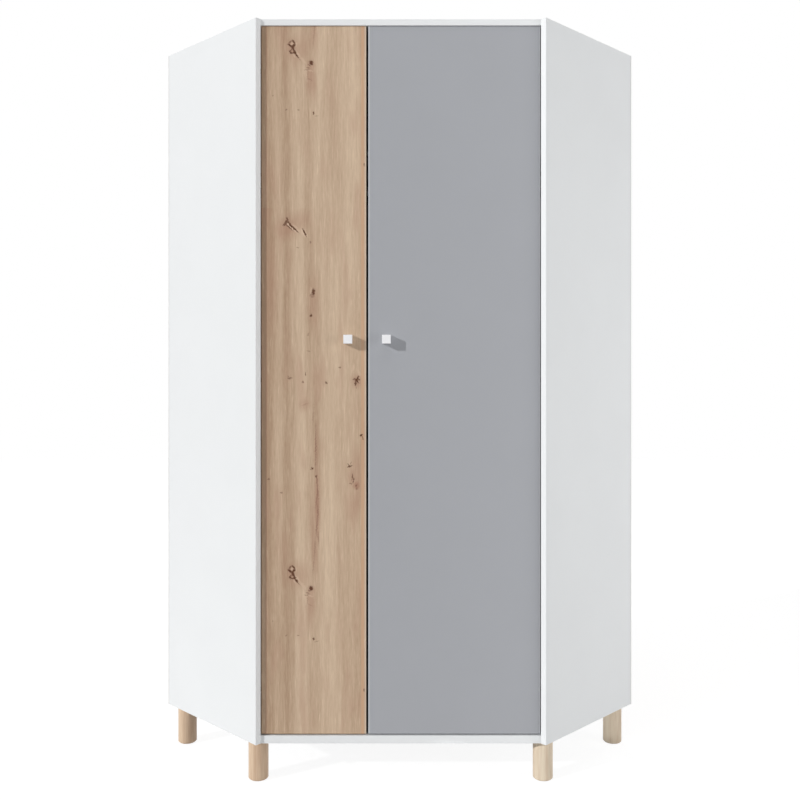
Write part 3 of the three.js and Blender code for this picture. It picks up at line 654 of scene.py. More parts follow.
def knotty_oak():
    material, tree, shader = new_finish("knotty_oak", specular=0.3)
    corner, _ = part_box("door_left")
    spot = millimetres(tree, corner + Vector((PRINT_START * MM, 0, 0)))
    frayed = shaken(tree, spot, 0.22, (7.0, 0.0, 7.0))
    parts = put(tree, "SeparateXYZ", {"Vector": frayed}).outputs
    wrapped_height = calculate(tree, "FLOORED_MODULO", parts["Z"], ROLLER_REPEAT)
    inputs = {"X": parts["X"], "Y": parts["Y"], "Z": wrapped_height}
    on_roller = put(tree, "CombineXYZ", inputs).outputs[0]
    knots = draw_marks(tree, on_roller, KNOTS + SMALL_KNOTS)
    rims = draw_marks(tree, on_roller, RIMS, soft=0.5)
    stains_and_shade_tint = draw_marks(tree, on_roller, STAINS_AND_SHADE_TINT, soft=0.8)
    threads = draw_marks(tree, on_roller, THREADS, soft=0.7)
    flowing = shaken(tree, spot, 0.005, (12.0, 0.0, 0.0))
    pale = draw_marks(tree, flowing, PALE_BANDS, soft=0.8)
    dark = draw_marks(tree, flowing, DARK_BANDS, soft=0.8)
    amber = draw_marks(tree, spot, AMBER_BANDS, soft=0.3)

    layers = {}
    for name, (width, length, offset) in OAK_LAYERS.items():
        layer = use_group(tree, wood_fibres, Vector=flowing, Width=width, Length=length, Offset=offset)
        layers[name] = layer["Value"]
    lightness = calculate(tree, "MULTIPLY_ADD", pale, PALE_LIFT, 0.5)
    lightness = calculate(tree, "MULTIPLY_ADD", dark, DARK_DROP, lightness)
    for name, weight in OAK_WEIGHTS.items():
        swing = calculate(tree, "SUBTRACT", layers[name], 0.5)
        lightness = calculate(tree, "MULTIPLY_ADD", swing, weight, lightness)
    lightness = calculate(tree, "ADD", lightness, rescale(tree, layers["fine"], *GLINTS))
    lower_half = rescale(tree, lightness, 0.0, 0.5, how="LINEAR")
    upper_half = rescale(tree, lightness, 0.5, 1.0, how="LINEAR")
    colour = blend_colours(tree, lower_half, OAK_DARK, OAK_MIDDLE)
    colour = blend_colours(tree, upper_half, colour, OAK_PALE)
    across = put(tree, "SeparateXYZ", {"Vector": spot}).outputs["X"]
    for share, ink in (
        (rescale(tree, layers["tint"], *ROSY_SPOTS), paint(184, 148, 126)),
        # the stains, with the reddish line of painted shade colour
        (stains_and_shade_tint, paint(170, 128, 107)),
        (amber, paint(208, 167, 134)),
        (threads, paint(134, 97, 77)),
        (rims, paint(222, 196, 170)),
        (knots, paint(94, 58, 38)),
        # painted highlight along the free edge
        (rescale(tree, across, *OAK_EDGE_HIGHLIGHT), paint(214, 195, 174)),
    ):
        colour = blend_colours(tree, share, colour, ink)
    sheen = spread_noise(tree, layers["fine"], 0.6, 0.5)
    connect(tree, shader, colour, sheen, layers["fine"], OAK_DEPTH)
    return material


oak_decor = knotty_oak()
print("oak finish made of", len(oak_decor.node_tree.nodes), "nodes")

# %% [markdown]
# ### Turned beech and sawn pine
#
# The legs are turned from one piece of clear-lacquered wood each, and the batten in the corner is
# sawn softwood. A picture of wood that is wrapped round a leg has a seam, and ends at the foot.
# The fibre group fills all of space, so its grain runs through the leg as it does in a real
# blank. It is used at two widths. The two legs on the right get a paler copy of the beech. The
# batten is rougher and yellower.

# %% Solid wood
BEECH_FIBRES = ((14.0, 220.0), (2.0, 45.0))  # width and length of the bands, then of the fine ones
PINE_FIBRES = ((9.0, 400.0), (1.6, 60.0))
FINE_WEIGHT = 0.6


def solid_wood(name, dark, pale, roughness, fibres, depth):
    material, tree, shader = new_finish(name, specular=0.35)
    spot = millimetres(tree)
    bands, fine = (
        use_group(tree, wood_fibres, Vector=spot, Width=width, Length=length)["Value"]
        for width, length in fibres
    )
    both = calculate(tree, "MULTIPLY_ADD", calculate(tree, "SUBTRACT", fine, 0.5), FINE_WEIGHT, bands)
    colour = blend_colours(tree, spread_noise(tree, both), dark, pale)
    rough = spread_noise(tree, fine, roughness + 0.05, roughness - 0.05)
    connect(tree, shader, colour, rough, fine, depth)
    return material


beech = solid_wood("beech", paint(205, 174, 146), paint(224, 198, 170), 0.42, BEECH_FIBRES, 0.00003)
pale_beech = solid_wood(
    "pale_beech", paint(214, 192, 167), paint(232, 217, 194), 0.42, BEECH_FIBRES, 0.00003
)
pine = solid_wood("pine", paint(206, 170, 122), paint(226, 198, 152), 0.65, PINE_FIBRES, 0.00008)
print("solid woods:", beech.name, pale_beech.name, pine.name)

# %% [markdown]
# ### Hardboard
#
# The back sheets are thin fibreboard, lacquered white on the side that shows inside and left
# brown towards the wall. The brown side is felted fibres, which are too fine to be modelled. One
# noise mottles its tone and its height at a few millimetres, and only the peaks of a second,
# finer one are used, as darker specks of bark.

# %% Hardboard
FELT_DARK = paint(140, 106, 76)
FELT_PALE = paint(168, 131, 96)
BARK = paint(96, 68, 46)
BARK_SPECKS = (0.62, 0.72, 0.0, 0.5)
FELT_DEPTH = 0.0001


def raw_hardboard():
    material, tree, shader = new_finish("raw_hardboard", specular=0.25)
    spot = millimetres(tree)
    mottle = noise(tree, spot, 0.12, 6.0)
    specks = rescale(tree, noise(tree, spot, 0.6, 2.0), *BARK_SPECKS)
    colour = blend_colours(tree, spread_noise(tree, mottle), FELT_DARK, FELT_PALE)
    colour = blend_colours(tree, specks, colour, BARK)
    connect(tree, shader, colour, spread_noise(tree, mottle, 0.75, 0.6), mottle, FELT_DEPTH)
    return material


sheet_brown = raw_hardboard()
print("made", sheet_brown.name)

# %% [markdown]
# ### Metal
#
# Hinges, brackets and screws are nickel-plated, and the rail is chromed. A plain grey with a
# strong gloss would look like plastic. Bare metal has no colour of its own besides its
# reflection, so the base colour is the metal's tint, and the life is in the roughness: a
# stretched noise gives it the direction in which the strip was rolled.

# %% Metal
DULLING = 0.93


def plated(name, tint, roughness, spread, stretch, depth):
    material, tree, shader = new_finish(name, metallic=1.0)
    stretched = put(tree, "Mapping", {"Vector": millimetres(tree), "Scale": stretch}).outputs[0]
    scratches = noise(tree, stretched, 1.0, 3.0)
    rough = spread_noise(tree, scratches, roughness - spread, roughness + spread)
    colour = blend_colours(tree, spread_noise(tree, scratches), tint, scaled(tint, DULLING))
    connect(tree, shader, colour, rough, scratches, depth)
    return material


nickel = plated("nickel", paint(190, 191, 190), 0.32, 0.08, (0.5, 0.5, 3.0), 0.000004)
chrome = plated("chrome", paint(214, 216, 219), 0.12, 0.04, (0.02, 1.5, 1.5), 0.000002)
print("metals:", nickel.name, chrome.name)

# %% [markdown]
# ## Boards with eased edges
#
# A CAD board ends in knife-sharp edges, and these look false, because they never catch the
# light. A real board has an edge band whose corners are eased by about half a millimetre. The
# CAD mesh itself stays as it is. A copy of it is merged into whole faces, its long edges are
# rounded with bevel, and the copy stands in for the node.
#
# A rounded edge next to a large flat face also needs weighted normals, which let the flat face
# keep its own direction, or its shading would bend near the edge.

# %% Pieces from bmesh
SMOOTH_ANGLE = math.radians(40)
SHARP_ANGLE = math.radians(30)
FLAT_ANGLE = math.radians(0.5)
MERGE_DISTANCE = 0.01 * MM


def body_of(node):
    """The body that a node belongs to."""
    return next(b for b, names in frame["record"]["behaviour"]["bodies"].items() if node in names)


def finish_piece(bm, name, slot, *finishes, body="carcass", node=None):
    """Makes a bmesh a smooth piece that rides on a body. It may stand in for a node of that body."""
    piece = make_object(bm, name, *finishes)
    piece.data.shade_smooth()
    piece.data.set_sharp_from_angle(angle=SMOOTH_ANGLE)
    piece.modifiers.new("weighted normals", "WEIGHTED_NORMAL").keep_sharp = True
    if node:
        body = body_of(node)
    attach(piece, body)
    if node:
        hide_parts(node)
    return piece


def merged_copy(node):
    """A node's loose triangles as one skin, with flat areas made whole faces."""
    bm = bmesh.new()
    bm.from_mesh(nodes[node].data)
    bmesh.ops.remove_doubles(bm, verts=bm.verts, dist=MERGE_DISTANCE)
    bmesh.ops.dissolve_limit(bm, angle_limit=FLAT_ANGLE, verts=bm.verts, edges=bm.edges)
    return bm


def round_edges(bm, radius, segments=2, longer_than=0.0):
    """Rounds the edges that are sharp and long enough, in millimetres, and counts them."""
    chosen = [
        edge for edge in bm.edges
        if edge.is_manifold and edge.calc_length() > longer_than * MM
        and edge.calc_face_angle() > SHARP_ANGLE
    ]
    bmesh.ops.bevel(
        bm, geom=chosen, offset=radius * MM, segments=segments, profile=0.5, affect="EDGES",
        material=-1, clamp_overlap=True,
    )
    return len(chosen)


print("edges under", round(math.degrees(SMOOTH_ANGLE)), "degrees are shaded smooth")

# %% [markdown]
# ### Boards, batten and doors
#
# Five boards are white, the doors are oak and grey, and the batten in the corner is softwood with
# rounder edges. A Bevel modifier would round every sharp edge, also those of the bores for the
# hinges. Picking the edges by their length leaves the bores as crisp as the drill does. The doors
# get one segment more, because people see them from close by.

# %% Boards
LONG_EDGE = 10.0  # millimetres, so that the edges of bores and holes stay sharp
WHITE_BOARD = ("white_board", white_melamine, 0.5, 2)
# Each board is (node, name, slot, finish, easing in millimetres, segments of the easing)
BOARDS = [
    ("side_panel_left", "side_board_left", *WHITE_BOARD),
    ("side_panel_right", "side_board_right", *WHITE_BOARD),
    ("top_panel", "top_board", *WHITE_BOARD),
    ("bottom_panel", "bottom_board", *WHITE_BOARD),
    ("hat_shelf", "shelf_board", *WHITE_BOARD),
    ("back_corner_post", "corner_batten", "post_wood", pine, 1.5, 2),
    ("door_left", "oak_door", "knotty_oak", oak_decor, 0.5, 3),
    ("door_right", "grey_door", "grey_board", grey_melamine, 0.5, 3),
]
for node, name, slot, finish, easing, segments in BOARDS:
    bm = merged_copy(node)
    count = round_edges(bm, easing, segments, LONG_EDGE)
    board = finish_piece(bm, name, slot, finish, node=node)
    print(name, "has", count, "eased edges and", len(board.data.polygons), "faces")

# %% [markdown]
# ## Back sheets
#
# Each thin back sheet is white towards the inside and raw brown towards the wall. Two sheets back
# to back would show both colours, but a real one is a single sheet with a lacquered side. So its
# copy carries two finishes, and the face that looks out towards the wall is found by its
# direction.

# %% Back sheets
BRIGHT = 0
RAW = 1
SHEET_EASING = 0.2
SLANT = math.sqrt(0.5)  # the walls stand at 45 degrees to the doors


def out_of_wall(side):
    """Direction from the wardrobe towards one of the room's walls."""
    return Vector((side * SLANT, SLANT, 0))


for name, side in SIDES.items():
    node = f"back_panel_{name}"
    bm = merged_copy(node)
    for face in bm.faces:
        face.material_index = RAW if face.normal.dot(out_of_wall(side)) > 0.9 else BRIGHT
    round_edges(bm, SHEET_EASING, 1, LONG_EDGE)
    sheet = finish_piece(bm, f"back_sheet_{name}", "white_sheet", sheet_white, sheet_brown, node=node)
    print(sheet.name, "has", len(sheet.data.polygons), "faces")

# %% [markdown]
# ## Parts that are made once and placed often
#
# Screws, nails and hinges come in numbers. Each is drawn once at the origin, and then copies of
# it are placed. Linked objects would be the usual way, but here a finished piece is one mesh in
# the wardrobe's own frame, so `assemble` joins the copies where they belong. A turned part is a
# profile spun about Z. A plate is a square with its corners cut round and then made thick.

# %% Placing parts
def at(*place):
    """A matrix that moves what was drawn at the origin to a place in millimetres."""
    return Matrix.Translation(Vector(place) * MM)


def axes(place, x_axis, z_axis):
    """The same, and turns it so that its X and Z point along these directions."""
    x_axis = Vector(x_axis)
    z_axis = Vector(z_axis)
    return at(*place) @ Matrix((x_axis, z_axis.cross(x_axis), z_axis)).transposed().to_4x4()


def assemble(*placed):
    """One bmesh of copies, each given as a part and its place. A mirrored copy is turned outside."""
    bm = bmesh.new()
    for part, place in placed:
        carrier = bpy.data.meshes.new("carrier")
        part.to_mesh(carrier)
        carrier.transform(place)
        if place.is_negative:
            carrier.flip_normals()
        bm.from_mesh(carrier)
        bpy.data.meshes.remove(carrier)
    return bm


def turned_part(profile, steps, rounding=0.0, closed=False):
    """Spins a profile of (radius, height) in millimetres about Z, and rounds its sharp rings."""
    part = bmesh.new()
    corners = [part.verts.new((radius * MM, 0, height * MM)) for radius, height in profile]
    following = corners[1:] + corners[:1] if closed else corners[1:]
    lines = [part.edges.new(pair) for pair in zip(corners, following)]
    bmesh.ops.spin(
        part, geom=corners + lines, cent=ORIGIN, axis=(0, 0, 1), angle=2 * math.pi, steps=steps,
        use_merge=True,
    )
    bmesh.ops.remove_doubles(part, verts=part.verts, dist=0.001 * MM)
    bmesh.ops.recalc_face_normals(part, faces=part.faces)
    if rounding:
        round_edges(part, rounding)
    return part


def only(kind, geometry):
    """The vertices, edges or faces of what an operator made."""
    return [item for item in geometry if isinstance(item, kind)]


def raise_faces(part, faces, height):
    """Extrudes faces by a height along Z and returns the vertices that were raised."""
    raised = only(BMVert, bmesh.ops.extrude_face_region(part, geom=faces)["geom"])
    bmesh.ops.translate(part, vec=(0, 0, height * MM), verts=raised)
    return raised


def plate_part(width, height, corner, low, high, easing=0.0, corner_steps=5):
    """A plate with round corners between two heights, drawn about Z. All in millimetres."""
    part = bmesh.new()
    bmesh.ops.create_grid(part, x_segments=1, y_segments=1, size=0.5)
    bmesh.ops.scale(part, vec=(width * MM, height * MM, 1), verts=part.verts)
    bmesh.ops.bevel(
        part, geom=part.verts[:], offset=corner * MM, segments=corner_steps, profile=0.5,
        affect="VERTICES", material=-1,
    )
    bmesh.ops.translate(part, vec=(0, 0, low * MM), verts=part.verts)
    raise_faces(part, part.faces[:], high - low)
    bmesh.ops.recalc_face_normals(part, faces=part.faces)
    if easing:
        round_edges(part, easing)
    return part


print("parts can be turned, cut from plate and placed")

# %% [markdown]
# ### Screw heads
#
# A cross that is cut out of a dome with a Boolean leaves ragged, thin faces round it. So a head
# begins as a grid of seven by seven squares. Pulling each ring of squares out to a circle makes
# it a disc, the middle row and column become the arms of the cross, and lowering the rim gives
# the dome. Only the arms are pressed in, and drawn together a little at the bottom, as a
# screwdriver's tip is.

# %% Screw heads
HEAD_CELLS = 7
CROSS_REACH = 2.4  # cells from the middle to the tip of an arm
RIM_DROP = 0.55  # as a share of the head's height, like the depth of the cross
CROSS_DEPTH = 0.55
CROSS_TAPER = 0.7
SHANK_CHAMFER = 0.5
SHANK_TOP = 0.1  # how far the shank reaches into the head


def screw_part(diameter, height, shank_diameter=0.0, shank_length=0.0):
    """A domed head with a cross recess that sits at height 0, with its shank below."""
    part = bmesh.new()
    radius = diameter / 2 * MM
    cell = 2 * radius / HEAD_CELLS
    bmesh.ops.create_grid(part, x_segments=HEAD_CELLS, y_segments=HEAD_CELLS, size=radius)
    for vert in part.verts:
        flat = vert.co.xy
        vert.co.xy = flat * (max(abs(flat.x), abs(flat.y)) / flat.length)
    raise_faces(part, part.faces[:], height)
    upper = [face for face in part.faces if face.calc_center_median().z > 0.9 * height * MM]
    for vert in {vert for face in upper for vert in face.verts}:
        vert.co.z -= RIM_DROP * height * MM * (vert.co.xy.length / radius) ** 2
    cross = []
    for face in upper:
        nearer, farther = sorted(abs(v) / cell for v in face.calc_center_median().xy)
        if nearer < 0.5 and farther < CROSS_REACH:
            cross.append(face)
    lowered = raise_faces(part, cross, -CROSS_DEPTH * height)
    bmesh.ops.scale(part, vec=(CROSS_TAPER, CROSS_TAPER, 1), verts=lowered)
    bmesh.ops.recalc_face_normals(part, faces=part.faces)
    if not shank_length:
        return part
    edge = shank_diameter / 2
    profile = [
        (0, -shank_length), (edge - SHANK_CHAMFER, -shank_length), (edge, SHANK_CHAMFER - shank_length),
        (edge, SHANK_TOP), (0, SHANK_TOP),
    ]
    return assemble((part, at(*ORIGIN)), (turned_part(profile, 20), at(*ORIGIN)))


def steel_piece(name, *placed, **rides):
    """A nickel-plated piece made of placed parts."""
    return finish_piece(assemble(*placed), name, "hinge_steel", nickel, **rides)


print("screws are drawn on a grid of", HEAD_CELLS, "by", HEAD_CELLS)

# %% [markdown]
# ## Legs and glides
#
# A leg comes off a lathe: a cylinder with a slanted foot and a hole in the top for its bolt. The
# glide is a nylon button with a pin that is knocked into the foot. A ready-made cylinder would
# still need its slant and its holes, while a profile that is spun round has them from the start.
# Both stand in for the CAD nodes, whose round faces are made of a few flats, with the same sizes
# and with many more steps.

# %% Legs and glides
LEG_PLACES = ("front_left", "front_right", "rear_left", "rear_right", "corner")
LEG_RADIUS = 26.25
LEG_TOP = 107.7
FOOT = 1.0  # height of the leg's foot over the floor
FOOT_CHAMFER = 3.0
LEG_PROFILE = [
    (0, 17.3), (3.8, 17.3), (3.8, 3.3), (12.3, 3.3), (12.3, FOOT), (LEG_RADIUS - FOOT_CHAMFER, FOOT),
    (LEG_RADIUS, FOOT + FOOT_CHAMFER), (LEG_RADIUS, LEG_TOP), (4.3, LEG_TOP), (4.3, 67.7), (0, 67.7),
]
GLIDE_PROFILE = [(0, 0), (11.0, 0), (12, 1.0), (12, 3), (3.5, 3), (3.5, 16.2), (2.7, 17), (0, 17)]


def middle_of(node):
    """The middle of a node's box, in millimetres."""
    low, high = box_of(node)
    return (low + high) / 2


leg = turned_part(LEG_PROFILE, 72, 0.5)
glide = turned_part(GLIDE_PROFILE, 36, 0.3)
for place in LEG_PLACES:
    stand = middle_of(f"leg_{place}")
    upright = at(stand.x, stand.y, 0)
    blank = pale_beech if place.endswith("right") else beech
    finish_piece(assemble((leg, upright)), f"turned_leg_{place}", "beech", blank, node=f"leg_{place}")
    finish_piece(
        assemble((glide, upright)), f"turned_leg_glide_{place}", "glide_nylon", nylon,
        node=f"leg_glide_{place}",
    )
print("legs and glides turned, leg radius in mm:", LEG_RADIUS)

# %% [markdown]
# ## Knobs
#
# Each knob is a block of lacquered wood that has been sanded on all its edges. Subdivision would
# round the whole block, like soap. A bevel keeps its faces flat, and the bevel's three segments
# catch a thin line of light along the edges. Towards the door the block is set back a little,
# which leaves the fine dark joint that a separate piece has.

# %% Knobs
KNOB_EASING = 1.1
KNOB_JOINT = 0.6  # height of the joint, which the base fills
BASE_MARGIN = 2.0
SCREW_GAP = 0.1
for name in SIDES:
    low, high = box_of(f"knob_{name}")
    size = high - low
    block = plate_part(size.x, size.z, 0.01, KNOB_JOINT, size.y, corner_steps=1)
    round_edges(block, KNOB_EASING, segments=3)
    base = plate_part(size.x - 2 * BASE_MARGIN, size.z - 2 * BASE_MARGIN, 1.0, 0.0, KNOB_JOINT + 0.2)
    centre = middle_of(f"knob_{name}")
    on_door = axes((centre.x, high.y, centre.z), (1, 0, 0), (0, -1, 0))
    knob = finish_piece(
        assemble((block, on_door), (base, on_door)), f"square_knob_{name}", "knob_white",
        knob_lacquer, node=f"knob_{name}",
    )
    screw_low, screw_high = box_of(f"knob_screw_{name}")
    door_back = box_of(f"door_{name}")[1].y
    screw = screw_part(9, screw_high.y - door_back - SCREW_GAP, 4, door_back - screw_low.y)
    on_back = axes((centre.x, door_back + SCREW_GAP, centre.z), (1, 0, 0), (0, 1, 0))
    steel_piece(f"knob_bolt_{name}", (screw, on_back), node=f"knob_screw_{name}")
    print(knob.name, "is", [round(v, 1) for v in size], "mm")

# %% [markdown]
# ## Clothes rail
#
# The rail is an oval steel tube with straight flanks. A cylinder that is scaled narrower becomes
# an ellipse, which has no flanks. A rectangle whose corners are cut so round that they meet has
# them. The wall only shows at both ends, so these are inset and pushed in, and the rest of the
# tube needs no inside.

# %% Clothes rail
RAIL_WALL = 1.2
RAIL_POCKET = 30
rail_low, rail_high = box_of("clothes_rail")
_, rail_y, rail_z = middle_of("clothes_rail")
rail_length, rail_width, rail_height = rail_high - rail_low


def oval_part(width, height, low, high, corner_steps):
    """An oval bar between two heights."""
    return plate_part(width, height, width / 2 - 0.01, low, high, corner_steps=corner_steps)


def hollow_end(part, wall, depth, way):
    """Sinks a pocket with an even wall into a part's upper end, or into its lower one with way -1."""
    part.normal_update()
    ends = [face for face in part.faces if face.normal.z * way > 0.99]
    end = max(ends, key=lambda face: face.calc_center_median().z * way)
    bmesh.ops.inset_region(part, faces=[end], thickness=wall * MM, use_even_offset=True)
    raise_faces(part, [end], -way * depth)


tube = oval_part(rail_width, rail_height, rail_low.x, rail_high.x, 16)
for way in (1, -1):
    hollow_end(tube, RAIL_WALL, RAIL_POCKET, way)
tube_place = axes((0, rail_y, rail_z), (0, 1, 0), (1, 0, 0))
finish_piece(assemble((tube, tube_place)), "oval_rail", "rail_chrome", chrome, node="clothes_rail")
print("rail is", round(rail_length), "mm long")

# %% [markdown]
# ### Rail brackets
#
# Each bracket has a cup that grips the rail's end, a web, and a flange that is screwed under the
# shelf. The real one is pressed from one sheet. Folding it step by step would take long for a
# piece that hangs in the dark, so the cup, the web and the flange are three parts with eased
# edges that overlap in one mesh.

# %% Rail brackets
BRACKET_WALL = 3.0
BRACKET_DEPTH = 17.0
BRACKET_REACH = 52.0
BRACKET_WIDTH = 40.0
BRACKET_SCREW_INSET = 9.0  # from the edges of the flange
SEAT_GAP = 0.3  # what the CAD model leaves between fastened pieces
SCREW_SINK = 0.05
bracket_screw = screw_part(8.5, 2.4)
grip_width, grip_height = (v + 2 * (BRACKET_WALL + SEAT_GAP) for v in (rail_width, rail_height))
grip = oval_part(grip_width, grip_height, -BRACKET_DEPTH, 0, 14)
hollow_end(grip, BRACKET_WALL, BRACKET_DEPTH - BRACKET_WALL, -1)
round_edges(grip, 0.6)
for name, side in SIDES.items():
    node = f"rail_bracket_{name}"
    low, high = box_of(node)
    top = high.z - rail_z
    web_height = top - rail_height / 2
    web = plate_part(grip_width, web_height, 0.5, -BRACKET_WALL, 0, easing=0.4)
    flange = plate_part(BRACKET_REACH, BRACKET_WIDTH, 6, top - BRACKET_WALL, top, easing=0.4)
    outer_x = max(low.x, high.x, key=abs)
    across = axes((outer_x, rail_y, rail_z), (0, side, 0), (side, 0, 0))
    upright = axes((outer_x, rail_y, rail_z), (side, 0, 0), (0, 0, 1))
    web_place = across @ at(0, (rail_height + web_height) / 2, 0)
    flange_place = upright @ at(-BRACKET_REACH / 2, 0, 0)
    placed = ((grip, across), (web, web_place), (flange, flange_place))
    steel_piece(f"pressed_bracket_{name}", *placed, node=node)
    screw_x = outer_x - side * (BRACKET_REACH - BRACKET_SCREW_INSET)
    seat = high.z - BRACKET_WALL - SCREW_SINK
    screws = []
    for way in SIDES.values():
        screw_y = rail_y + way * (BRACKET_WIDTH / 2 - BRACKET_SCREW_INSET)
        screws.append((bracket_screw, axes((screw_x, screw_y, seat), (1, 0, 0), (0, 0, -1))))
    steel_piece(f"bracket_screws_{name}", *screws)
print("bracket grips are", round(grip_width, 1), "by", round(grip_height, 1), "mm")

# %% [markdown]
# ## Concealed hinges
#
# A concealed hinge has three parts that show once a door is open. The cup is a deep-drawn bowl
# with a flange, let into the back of the door. Its flange is a ring that runs out into two ears
# for the screws. In polar terms the edge lies at whichever is farther out, the ring or the ears'
# rounded rectangle, so the ring is widened vertex by vertex to that distance.

# %% Hinge cups
CUP_STEPS = 96
CUP_OUTER = 17.2
CUP_INNER = 16.4
CUP_DEPTH = 12.7
CUP_FROM_EDGE = 22.0
CUP_PROFILE = [
    (0, -CUP_DEPTH), (14.6, -CUP_DEPTH), (16.6, -11.9), (CUP_OUTER, -10), (CUP_OUTER, 0.8),
    (CUP_INNER - 0.1, 0.8), (CUP_INNER - 0.1, -9.6), (15.8, -11.2), (14.2, -11.9), (0, -11.9),
]
FLANGE_RING = 19.4
FLANGE_THICKNESS = 1.2
EAR_SHIFT = 5.0
EAR_HALF_WIDTH = 9.0
EAR_HALF_HEIGHT = 31.0
EAR_SCREW = 24.0
EAR_ROUNDNESS = 9  # power that rounds the ears' corners
HINGE_PLACES = ("top", "middle", "bottom")
# Each hinge is (left or right, the same as -1 or 1, its name)
HINGES = [(name, side, f"{name}_{place}") for name, side in SIDES.items() for place in HINGE_PLACES]


def ear_distance(angle):
    """Distance from the cup's axis to the edge of the ears in one direction."""
    reach_x = EAR_HALF_WIDTH + math.copysign(EAR_SHIFT, math.cos(angle))
    share_x = abs(math.cos(angle)) / reach_x
    share_y = abs(math.sin(angle)) / EAR_HALF_HEIGHT
    return (share_x ** EAR_ROUNDNESS + share_y ** EAR_ROUNDNESS) ** (-1 / EAR_ROUNDNESS)


def flange_part():
    """The cup's flange, drawn with its ears along Y."""
    part = bmesh.new()
    bmesh.ops.create_circle(part, cap_ends=False, segments=CUP_STEPS, radius=CUP_INNER * MM)
    ring = bmesh.ops.extrude_edge_only(part, edges=part.edges[:])["geom"]
    for vert in only(BMVert, ring):
        angle = math.atan2(vert.co.y, vert.co.x)
        vert.co.xy = vert.co.xy.normalized() * max(FLANGE_RING, ear_distance(angle)) * MM
    bmesh.ops.translate(part, vec=(0, 0, SEAT_GAP * MM), verts=part.verts)
    raise_faces(part, part.faces[:], FLANGE_THICKNESS)
    bmesh.ops.recalc_face_normals(part, faces=part.faces)
    round_edges(part, 0.3)
    return part


bowl = turned_part(CUP_PROFILE, CUP_STEPS)
flange = flange_part()
ear_screw = screw_part(8, 2.0)
ear_seats = [
    at(EAR_SHIFT, way * EAR_SCREW, SEAT_GAP + FLANGE_THICKNESS - SCREW_SINK) for way in SIDES.values()
]
for name, side, hinge in HINGES:
    node = f"hinge_cup_{hinge}"
    low, high = box_of(f"door_{name}")
    cup_x = max(low.x, high.x, key=abs) - side * CUP_FROM_EDGE
    on_back = axes((cup_x, high.y, middle_of(node).z), (-side, 0, 0), (0, 1, 0))
    steel_piece(f"drawn_cup_{hinge}", (bowl, on_back), (flange, on_back), node=node)
    screws = [(ear_screw, on_back @ seat) for seat in ear_seats]
    steel_piece(f"cup_screws_{hinge}", *screws, body=body_of(node))
print("hinge cups:", len(HINGES))

# %% [markdown]
# The arm is a strip of steel bent into a gooseneck, so that it reaches round the door's edge. It
# is made as a press would make it: a short edge is pushed straight or swung round a centre, step
# by step, and leaves a sheet behind it. On the mounting plate its sides are folded down, and a
# slot is cut for the clamping screw. A Solidify modifier gives the sheet its 2 mm.

# %% Hinge arms
ARM_WIDTH = 12.0
ARM_THICKNESS = 2.0
ARM_EASING = 0.25
ARM_LIP = 3.4
ARM_SLOT_MARGIN = 3.4
EYE_PROFILE = [(2.3, -6), (3.3, -6), (3.3, 6), (2.3, 6)]
GOOSENECK_START = 2.8  # from the pin's axis
# Straight stretches are (length,), and bends are (degrees to the left, radius)
GOOSENECK = [(8.09,), (110.17, 4.0), (91.83, 15.6), (14.69,), (-67.0, 6.0), (14.0,)]
FLAT_STRETCHES = (7.4, 15.0, 2.0)  # up to the slot, along the slot, and up to the arm's end
STEP_DEGREES = 9


def push(part, edge, direction, length):
    """Pushes an edge straight ahead. Returns the edge at the far end and the face made."""
    made = bmesh.ops.extrude_edge_only(part, edges=[edge])["geom"]
    bmesh.ops.translate(part, vec=direction * length * MM, verts=only(BMVert, made))
    return only(BMEdge, made)[0], only(BMFace, made)[0]


def swing(part, edge, direction, degrees, radius):
    """Swings an edge round a centre beside it. Returns the last edge and the new direction."""
    way = math.copysign(1, degrees)
    centre = (edge.verts[0].co + edge.verts[1].co) / 2
    centre += Vector((-direction.y, direction.x, 0)) * way * radius * MM
    last = bmesh.ops.spin(
        part, geom=[edge, *edge.verts], cent=centre, axis=(0, 0, way),
        angle=math.radians(abs(degrees)), steps=max(3, round(abs(degrees) / STEP_DEGREES)),
    )["geom_last"]
    return only(BMEdge, last)[0], Matrix.Rotation(math.radians(degrees), 3, "Z") @ direction


def arm_part():
    """The gooseneck as a sheet, from the pin along +X, with its flat stretch folded at the sides."""
    part = bmesh.new()
    start = [(GOOSENECK_START * MM, 0, way * ARM_WIDTH / 2 * MM) for way in SIDES.values()]
    edge = part.edges.new([part.verts.new(corner) for corner in start])
    direction = Vector((1, 0, 0))
    for move in GOOSENECK:
        if len(move) == 1:
            edge, _ = push(part, edge, direction, *move)
        else:
            edge, direction = swing(part, edge, direction, *move)
    flats = []
    for length in FLAT_STRETCHES:
        edge, face = push(part, edge, direction, length)
        flats.append(face)
    sides = [
        e for face in flats for e in face.edges
        if abs((e.verts[0].co - e.verts[1].co).normalized().dot(direction)) > 0.9
    ]
    lips = only(BMVert, bmesh.ops.extrude_edge_only(part, edges=sides)["geom"])
    towards_panel = Vector((-direction.y, direction.x, 0))
    bmesh.ops.translate(part, vec=towards_panel * ARM_LIP * MM, verts=lips)
    slot = flats[1:2]
    bmesh.ops.inset_region(part, faces=slot, thickness=ARM_SLOT_MARGIN * MM, use_even_offset=True)
    bmesh.ops.delete(part, geom=slot, context="FACES")
    bmesh.ops.recalc_face_normals(part, faces=part.faces)
    return part


